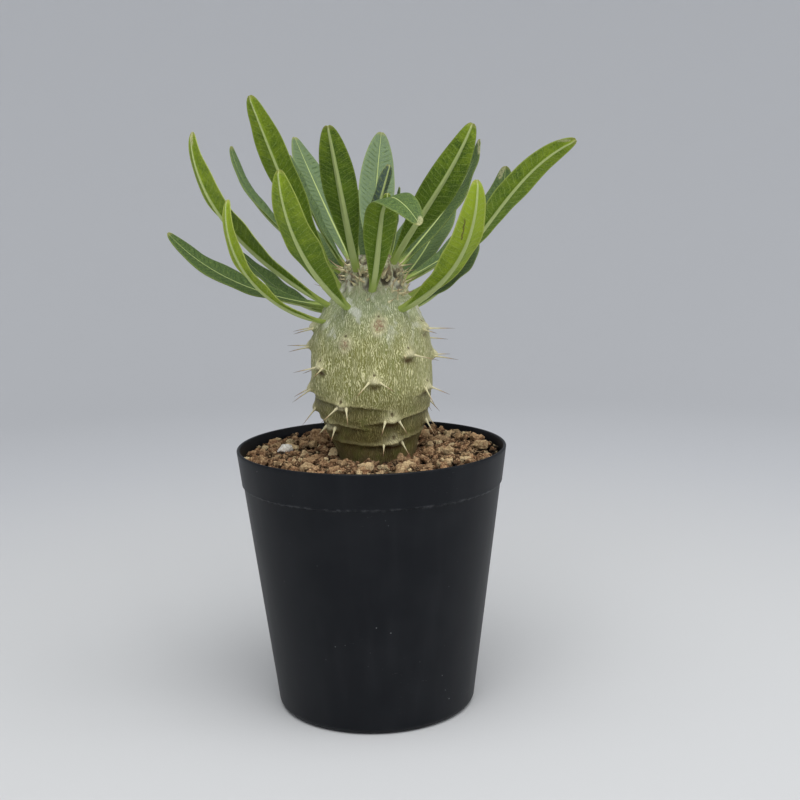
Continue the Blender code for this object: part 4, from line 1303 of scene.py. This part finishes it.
def leaf_frames(leaf, rows):
    """Midrib points, sideways directions and upper-face directions of a leaf, root to tip."""
    share = np.linspace(0, 1, rows + 1)
    turn = np.radians(leaf.turn_base + (leaf.turn_tip - leaf.turn_base) * share ** 2)
    rise = np.radians(
        leaf.rise_base * (1 - share) * (1 - 2 * share) + leaf.rise_mid * 4 * share * (1 - share)
        + leaf.rise_tip * share * (2 * share - 1) - leaf.curl * smooth_step(share, CURL_START, CURL_END)
    )
    along = around(turn, np.cos(rise), np.sin(rise))
    steps = (along[1:] + along[:-1]) / 2 * (leaf.length + ROOT_DEPTH) / rows
    root = stem_point(leaf.side, leaf.height, -ROOT_DEPTH)
    points = root + np.concatenate([np.zeros((1, 3)), np.cumsum(steps, axis=0)])
    level = np.stack([np.cos(turn), np.sin(turn), 0 * turn], -1)
    above = np.cross(along, level)
    roll = np.radians(leaf.roll_base + (leaf.roll_tip - leaf.roll_base) * share)[:, None]
    across = level * np.cos(roll) + above * np.sin(roll)
    upper = above * np.cos(roll) - level * np.sin(roll)
    return share, points, across, upper


def blade_marks(name, along, across):
    """How marked each point of a blade is: up to 1 where pale and down to -1 where brown."""
    if name not in LEAF_MARKS:
        return np.zeros_like(along)
    start, end, half, kind = LEAF_MARKS[name]
    way = np.subtract(end, start)
    share = ((along - start[0]) * way[0] + (across - start[1]) * way[1]) / (way @ way)
    share = np.clip(share, 0, 1)
    far = np.hypot(along - start[0] - share * way[0], across - start[1] - share * way[1])
    return kind * smooth_step(far, 1.6 * half, 0.6 * half)


def blade_noise(along, across, cut, seed):
    """Smooth noise over the grid of a blade, from one cut through space."""
    places = np.stack([along, across, np.full_like(across, cut)], -1)
    return gradient_noise(places.reshape(-1, 3), seed).reshape(across.shape)


def blade_surfaces(leaf, name, rows, seed):
    """Upper and lower grids of a blade, with the numbers that its finish reads."""
    share, points, across, upper = leaf_frames(leaf, rows)
    even = np.linspace(-1, 1, LEAF_COLUMNS + 1)
    s, v = np.meshgrid(share, even * (0.6 + 0.4 * even ** 2), indexing="ij")
    full = leaf_width(s)
    petiole_half = min(PETIOLE_HALF, PETIOLE_SHARE * leaf.width)
    half = leaf.width / 2 * full + petiole_half * (1 - s) ** 3 + TIP_HALF * s ** 2
    fold = np.radians(leaf.fold * (1 - s ** 4))
    length = s * (leaf.length + ROOT_DEPTH)
    x = np.abs(v) * half
    lift = half * np.abs(v) * np.sin(fold) * (1 - FOLD_EASE * np.abs(v))
    phase = math.tau * WAVES * s + np.where(v > 0, WAVE_OFFSET, 0.0) + leaf.side
    lift += WAVE_HEIGHT * v ** 2 * np.sin(phase) * full
    lift += BLADE_WANDER * blade_noise(length / 9, v * 1.2, seed * 3.7, seed) * v ** 2 * full
    loose = blade_noise(length / 4.5, v * 1.6, seed * 5.1, seed + 40)
    cycles = (length - VEIN_SLANT * x) / VEIN_SPACING + VEIN_WANDER * loose
    vein = np.cos(math.tau * cycles)
    ribs = smooth_step(x, 0.6, 2.0) * (1 - v ** 6) * full
    young = min(leaf.length / GROWN_LENGTH, 1.0)
    lift += young * VEIN_RELIEF * ribs * -np.clip(vein, -0.4, 1)
    lift -= MIDRIB_GROOVE * np.exp(-((x / 0.5) ** 2)) * smooth_step(s, 0.05, 0.2) * young
    lift -= EDGE_DROOP * np.abs(v) ** 9 * full
    spread = across[:, None] * (half * v * np.cos(fold))[..., None]
    top = points[:, None] + spread + upper[:, None] * lift[..., None]
    normal = np.cross(np.gradient(top, axis=1), np.gradient(top, axis=0))
    normal /= np.maximum(np.linalg.norm(normal, axis=2), 1e-9)[..., None]
    normal *= np.sign((normal * upper[:, None]).sum(2))[..., None]
    rib = min(LEAF_RIB, RIB_SHARE * leaf.width) * (1 - 0.55 * s)
    petiole = np.clip((PETIOLE_END * 2 - s) / PETIOLE_END, 0, 1)
    blade = BLADE * (1 - 0.45 * np.abs(v) ** 3) * (1 - 0.3 * s)
    thick = blade + (rib - blade) * np.exp(-((x / (RIB_HALF * (1.15 - 0.85 * s))) ** 2))
    thick += young * 0.5 * VEIN_RELIEF * ribs * np.clip(vein, 0, 1)
    thick = thick * (1 - petiole) + petiole * rib * np.sqrt(1 - 0.85 * v ** 2)
    thick *= np.clip((1 - s) / 0.02, 0.35, 1)
    bottom = top - normal * thick[..., None]
    measure = np.stack([cycles, half * v, s], -1)
    margin = np.full_like(v, leaf.margin)
    edge = np.stack([half * (1 - np.abs(v)), margin, blade_marks(name, length, half * v)], -1)
    return top, bottom, measure, edge


def blade_mesh(leaf, name, seed):
    """One closed blade: two grids joined along their edges."""
    rows = YOUNG_ROWS if leaf.length < YOUNG_LENGTH else LEAF_ROWS
    top, bottom, measure, edge = blade_surfaces(leaf, name, rows, seed)
    columns = LEAF_COLUMNS + 1
    points = np.concatenate([top.reshape(-1, 3), bottom.reshape(-1, 3)])
    side = len(points) // 2
    faces = [*grid_quads(rows + 1, columns), *grid_quads(rows + 1, columns, start=side)[:, ::-1]]
    index = np.arange(side).reshape(rows + 1, columns)
    border = np.concatenate([index[0, :], index[1:, -1], index[-1, -2::-1], index[-2:0:-1, 0]])
    after = np.roll(border, -1)
    faces += [tuple(face) for face in np.stack([border, border + side, after + side, after], -1)]
    habit = np.tile([1.0, leaf.bright, leaf.bloom], (len(points), 1))
    habit[side:, 0] = 0.0
    measure, edge = (np.tile(values.reshape(-1, 3), (2, 1)) for values in (measure, edge))
    return points, faces, {"measure": measure, "habit": habit, "edge": edge}


def leaf_finish(settings):
    """Leaf skin: green with a pale midrib, faint side veins, a fine net, a yellow margin and its marks, with
    painted shade in the upper side's vein grooves and towards the root.
    """
    look = Finish("leaf_blade_finish", Specular_IOR_Level=0.3)
    cycles, across, share = look.attribute("measure")
    face, bright, bloom = look.attribute("habit")
    inward, margin, dry = look.attribute("edge")
    off = abs(across)
    back = 1 - face
    midway = abs(cycles.fraction() - 0.5)
    vein = midway.step(0.4, 0.49) * off.step(0.5, 1.4)
    net = look.cells(1.3, "DISTANCE_TO_EDGE").step(0.2, 0.02)
    mottle = look.noise(0.22, detail=4, roughness=0.6)
    fine = look.noise(1.6, detail=3, roughness=0.6)

    tone = bright + (mottle - 0.5) * 0.7 + (fine - 0.5) * 0.55
    under = look.layers(
        settings.deep,
        (tone.step(0.0, 0.5), settings.green),
        # brighter towards the tip: painted light, standing for the shade that neighbouring leaves cast near the
        # root
        ((tone + (share - 0.4) * 0.5).step(0.45, 1.05), settings.bright),
        (bloom.step(0.92, 1.0) * 0.8, "young blade"),
    )
    upper = look.layers(
        settings.deep,
        ((tone + 0.1).step(0.1, 1.0), "upper blade"),
        (bloom * (0.65 + mottle * 0.5), settings.bloom),
    )
    # the sunk vein grooves of the upper side, which get painted shade
    grooves = midway.step(0.22, 0.46) * off.step(0.6, 2.2) * inward.step(0.6, 2.2)
    grooves = grooves * mottle.step(0.36, 0.56) * (1 - bloom * 0.4)
    half_rib = 0.86 - share * 0.74
    rib = (off / half_rib).step(1.15, 0.75)
    thin_rib = (off / half_rib).step(0.75, 0.35)
    colour = look.layers(
        under,
        (face, upper),
        (vein * (fine.step(0.3, 0.6) * 0.38 + 0.14) * back, "side vein"),
        # painted shade in the vein grooves of the upper side
        (grooves * face * 0.75, settings.deep),
        (net * (fine.step(0.35, 0.6) * 0.2 + 0.08), "vein net"),
        (inward.step(0.75, 0.1) * margin, "margin"),
        (rib * back + thin_rib * face, settings.rib),
        (share.step(0.17, 0.07) * (0.9 - off.step(0.9, 1.5) * 0.45), "petiole"),
        (share.step(0.97, 0.997) * 0.5, "blade tip"),
        (dry.step(0, 1) * (fine.step(0.3, 0.6) * 0.6 + 0.2), "dry mark"),
        (dry.step(0, -1) * 0.85, "brown mark"),
    )
    roughness = 0.46 + mottle * 0.14 + net * 0.08 + bloom * 0.12
    relief = vein * (0.5 - face) * 0.8 + net * 0.5 + fine * 0.7 + mottle * 0.3
    return look.finished(colour, roughness, relief, 0.19 * MM, 0.9)


class PLANT_OT_leaves(bpy.types.Operator):
    """Make the leaves, each a closed blade with midrib, petiole and side veins"""

    bl_idname = "plant.leaves"
    bl_label = "Leaves"

    def execute(self, context):
        finish = leaf_finish(context.scene.plant.leaf)
        for seed, (name, leaf) in enumerate(LEAVES.items()):
            points, faces, attributes = blade_mesh(leaf, name, seed)
            blade = mesh_piece(f"{name}_blade", points, faces, finish, attributes, sharp=60)
            recalculate(blade)
            dress(blade, "leaf_blade", name)
        return {"FINISHED"}


# Stage


def studio_finish(settings):
    """Matt paper, even but for a faint cloudiness, that changes tone from the floor to the wall."""
    look = Finish("studio_finish", Specular_IOR_Level=0.2)
    cloud = look.noise(0.006, detail=3)
    east, north, _ = look.parts(look.place())
    far = east.maths("SQRT", east * east + north * north)
    colour = look.layers(settings.floor, (far.step(190, 520), settings.wall), (cloud * 0.12, settings.wall))
    return look.finished(colour, 0.8 + cloud * 0.1)


class PLANT_OT_studio(bpy.types.Operator):
    """Make the floor that sweeps up all round, the lights and the camera"""

    bl_idname = "plant.studio"
    bl_label = "Studio"

    def execute(self, context):
        settings = context.scene.plant.studio
        self.floor(settings)
        self.lights(context, settings)
        self.camera(context)
        return {"FINISHED"}

    def floor(self, settings):
        """A round floor that sweeps up to a low wall all round."""
        sweep = arc((FLOOR_FLAT, FLOOR_BEND), FLOOR_BEND, -90, 0, 40)
        outline = [(1.0, 0.0), *sweep, (FLOOR_FLAT + FLOOR_BEND, WALL_TOP)]
        points, faces = turned(outline, FLOOR_STEPS)
        sheet = mesh_piece("studio_floor", points, faces[:-1], studio_finish(settings))
        sheet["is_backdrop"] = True

    def lights(self, context, settings):
        """A large soft light overhead, a weaker one at the right and an even sky."""
        for name, place, size, power in (
            ("overhead_light", (0.02, -0.45, 1.1), 1.1, settings.key_power),
            ("side_light", (0.9, -0.35, 0.6), 0.8, settings.side_power),
        ):
            data = bpy.data.lights.new(name, "AREA")
            data.energy = power
            data.size = size
            lamp = bpy.data.objects.new(name, data)
            lamp.location = place
            aim = Vector((0, 0, 0.12)) - Vector(place)
            lamp.rotation_euler = aim.to_track_quat("-Z", "Y").to_euler()
            context.scene.collection.objects.link(lamp)
        world = bpy.data.worlds.new("studio_sky")
        world.use_nodes = True
        sky = world.node_tree.nodes["Background"]
        sky.inputs["Color"].default_value = paint((0.96, 0.98, 1.0))
        sky.inputs["Strength"].default_value = settings.sky
        context.scene.world = world
        context.scene.view_settings.view_transform = "Standard"

    def camera(self, context):
        """The camera at the photograph's viewing angle."""
        data = bpy.data.cameras.new("camera")
        data.lens = CAMERA_LENS
        data.sensor_width = 36
        data.clip_start = 0.01
        yaw, dip, roll = (math.radians(a) for a in (CAMERA_YAW, CAMERA_DIP, CAMERA_ROLL))
        ahead = Vector((math.sin(yaw) * math.cos(dip), math.cos(yaw) * math.cos(dip), -math.sin(dip)))
        level = Vector((math.cos(yaw), -math.sin(yaw), 0.0))
        upright = level.cross(ahead)
        right = level * math.cos(roll) + upright * math.sin(roll)
        up = upright * math.cos(roll) - level * math.sin(roll)
        camera = bpy.data.objects.new("camera", data)
        turn = Matrix((right, up, -ahead)).transposed().to_4x4()
        camera.matrix_world = Matrix.Translation(CAMERA_PLACE) @ turn
        context.scene.collection.objects.link(camera)
        context.scene.camera = camera


class PLANT_PT_panel(bpy.types.Panel):
    """The operators and their settings"""

    bl_label = "Potted pachypodium"
    bl_idname = "PLANT_PT_panel"
    bl_space_type = "VIEW_3D"
    bl_region_type = "UI"
    bl_category = "Plant"

    def draw(self, context):
        settings = context.scene.plant
        for operator, group in OPERATORS:
            box = self.layout.box()
            box.operator(operator.bl_idname)
            chosen = getattr(settings, group, None)
            for key in chosen.__annotations__ if chosen else ():
                box.prop(chosen, key)


OPERATORS = (
    (PLANT_OT_pot, "pot"),
    (PLANT_OT_soil, "soil"),
    (PLANT_OT_stones, ""),
    (PLANT_OT_stem, "stem"),
    (PLANT_OT_leaves, "leaf"),
    (PLANT_OT_studio, "studio"),
)
CLASSES = (
    PotSettings, SoilSettings, StemSettings, LeafSettings, StudioSettings, PlantSettings,
    *(operator for operator, _ in OPERATORS), PLANT_PT_panel,
)


def register():
    """Register the classes and put the settings on the scene."""
    for each in CLASSES:
        bpy.utils.register_class(each)
    bpy.types.Scene.plant = PointerProperty(type=PlantSettings)


def unregister():
    """Take the settings and the classes away."""
    del bpy.types.Scene.plant
    for each in reversed(CLASSES):
        bpy.utils.unregister_class(each)


def main():
    """Make everything."""
    register()
    for operator, _ in OPERATORS:
        group, name = operator.bl_idname.split(".")
        getattr(getattr(bpy.ops, group), name)()
    boxes = {"cad": CAD_BOX, "visual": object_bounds()}
    {key: [list(corner) for corner in box] for key, box in boxes.items()}


if __name__ == "__main__":
    main()
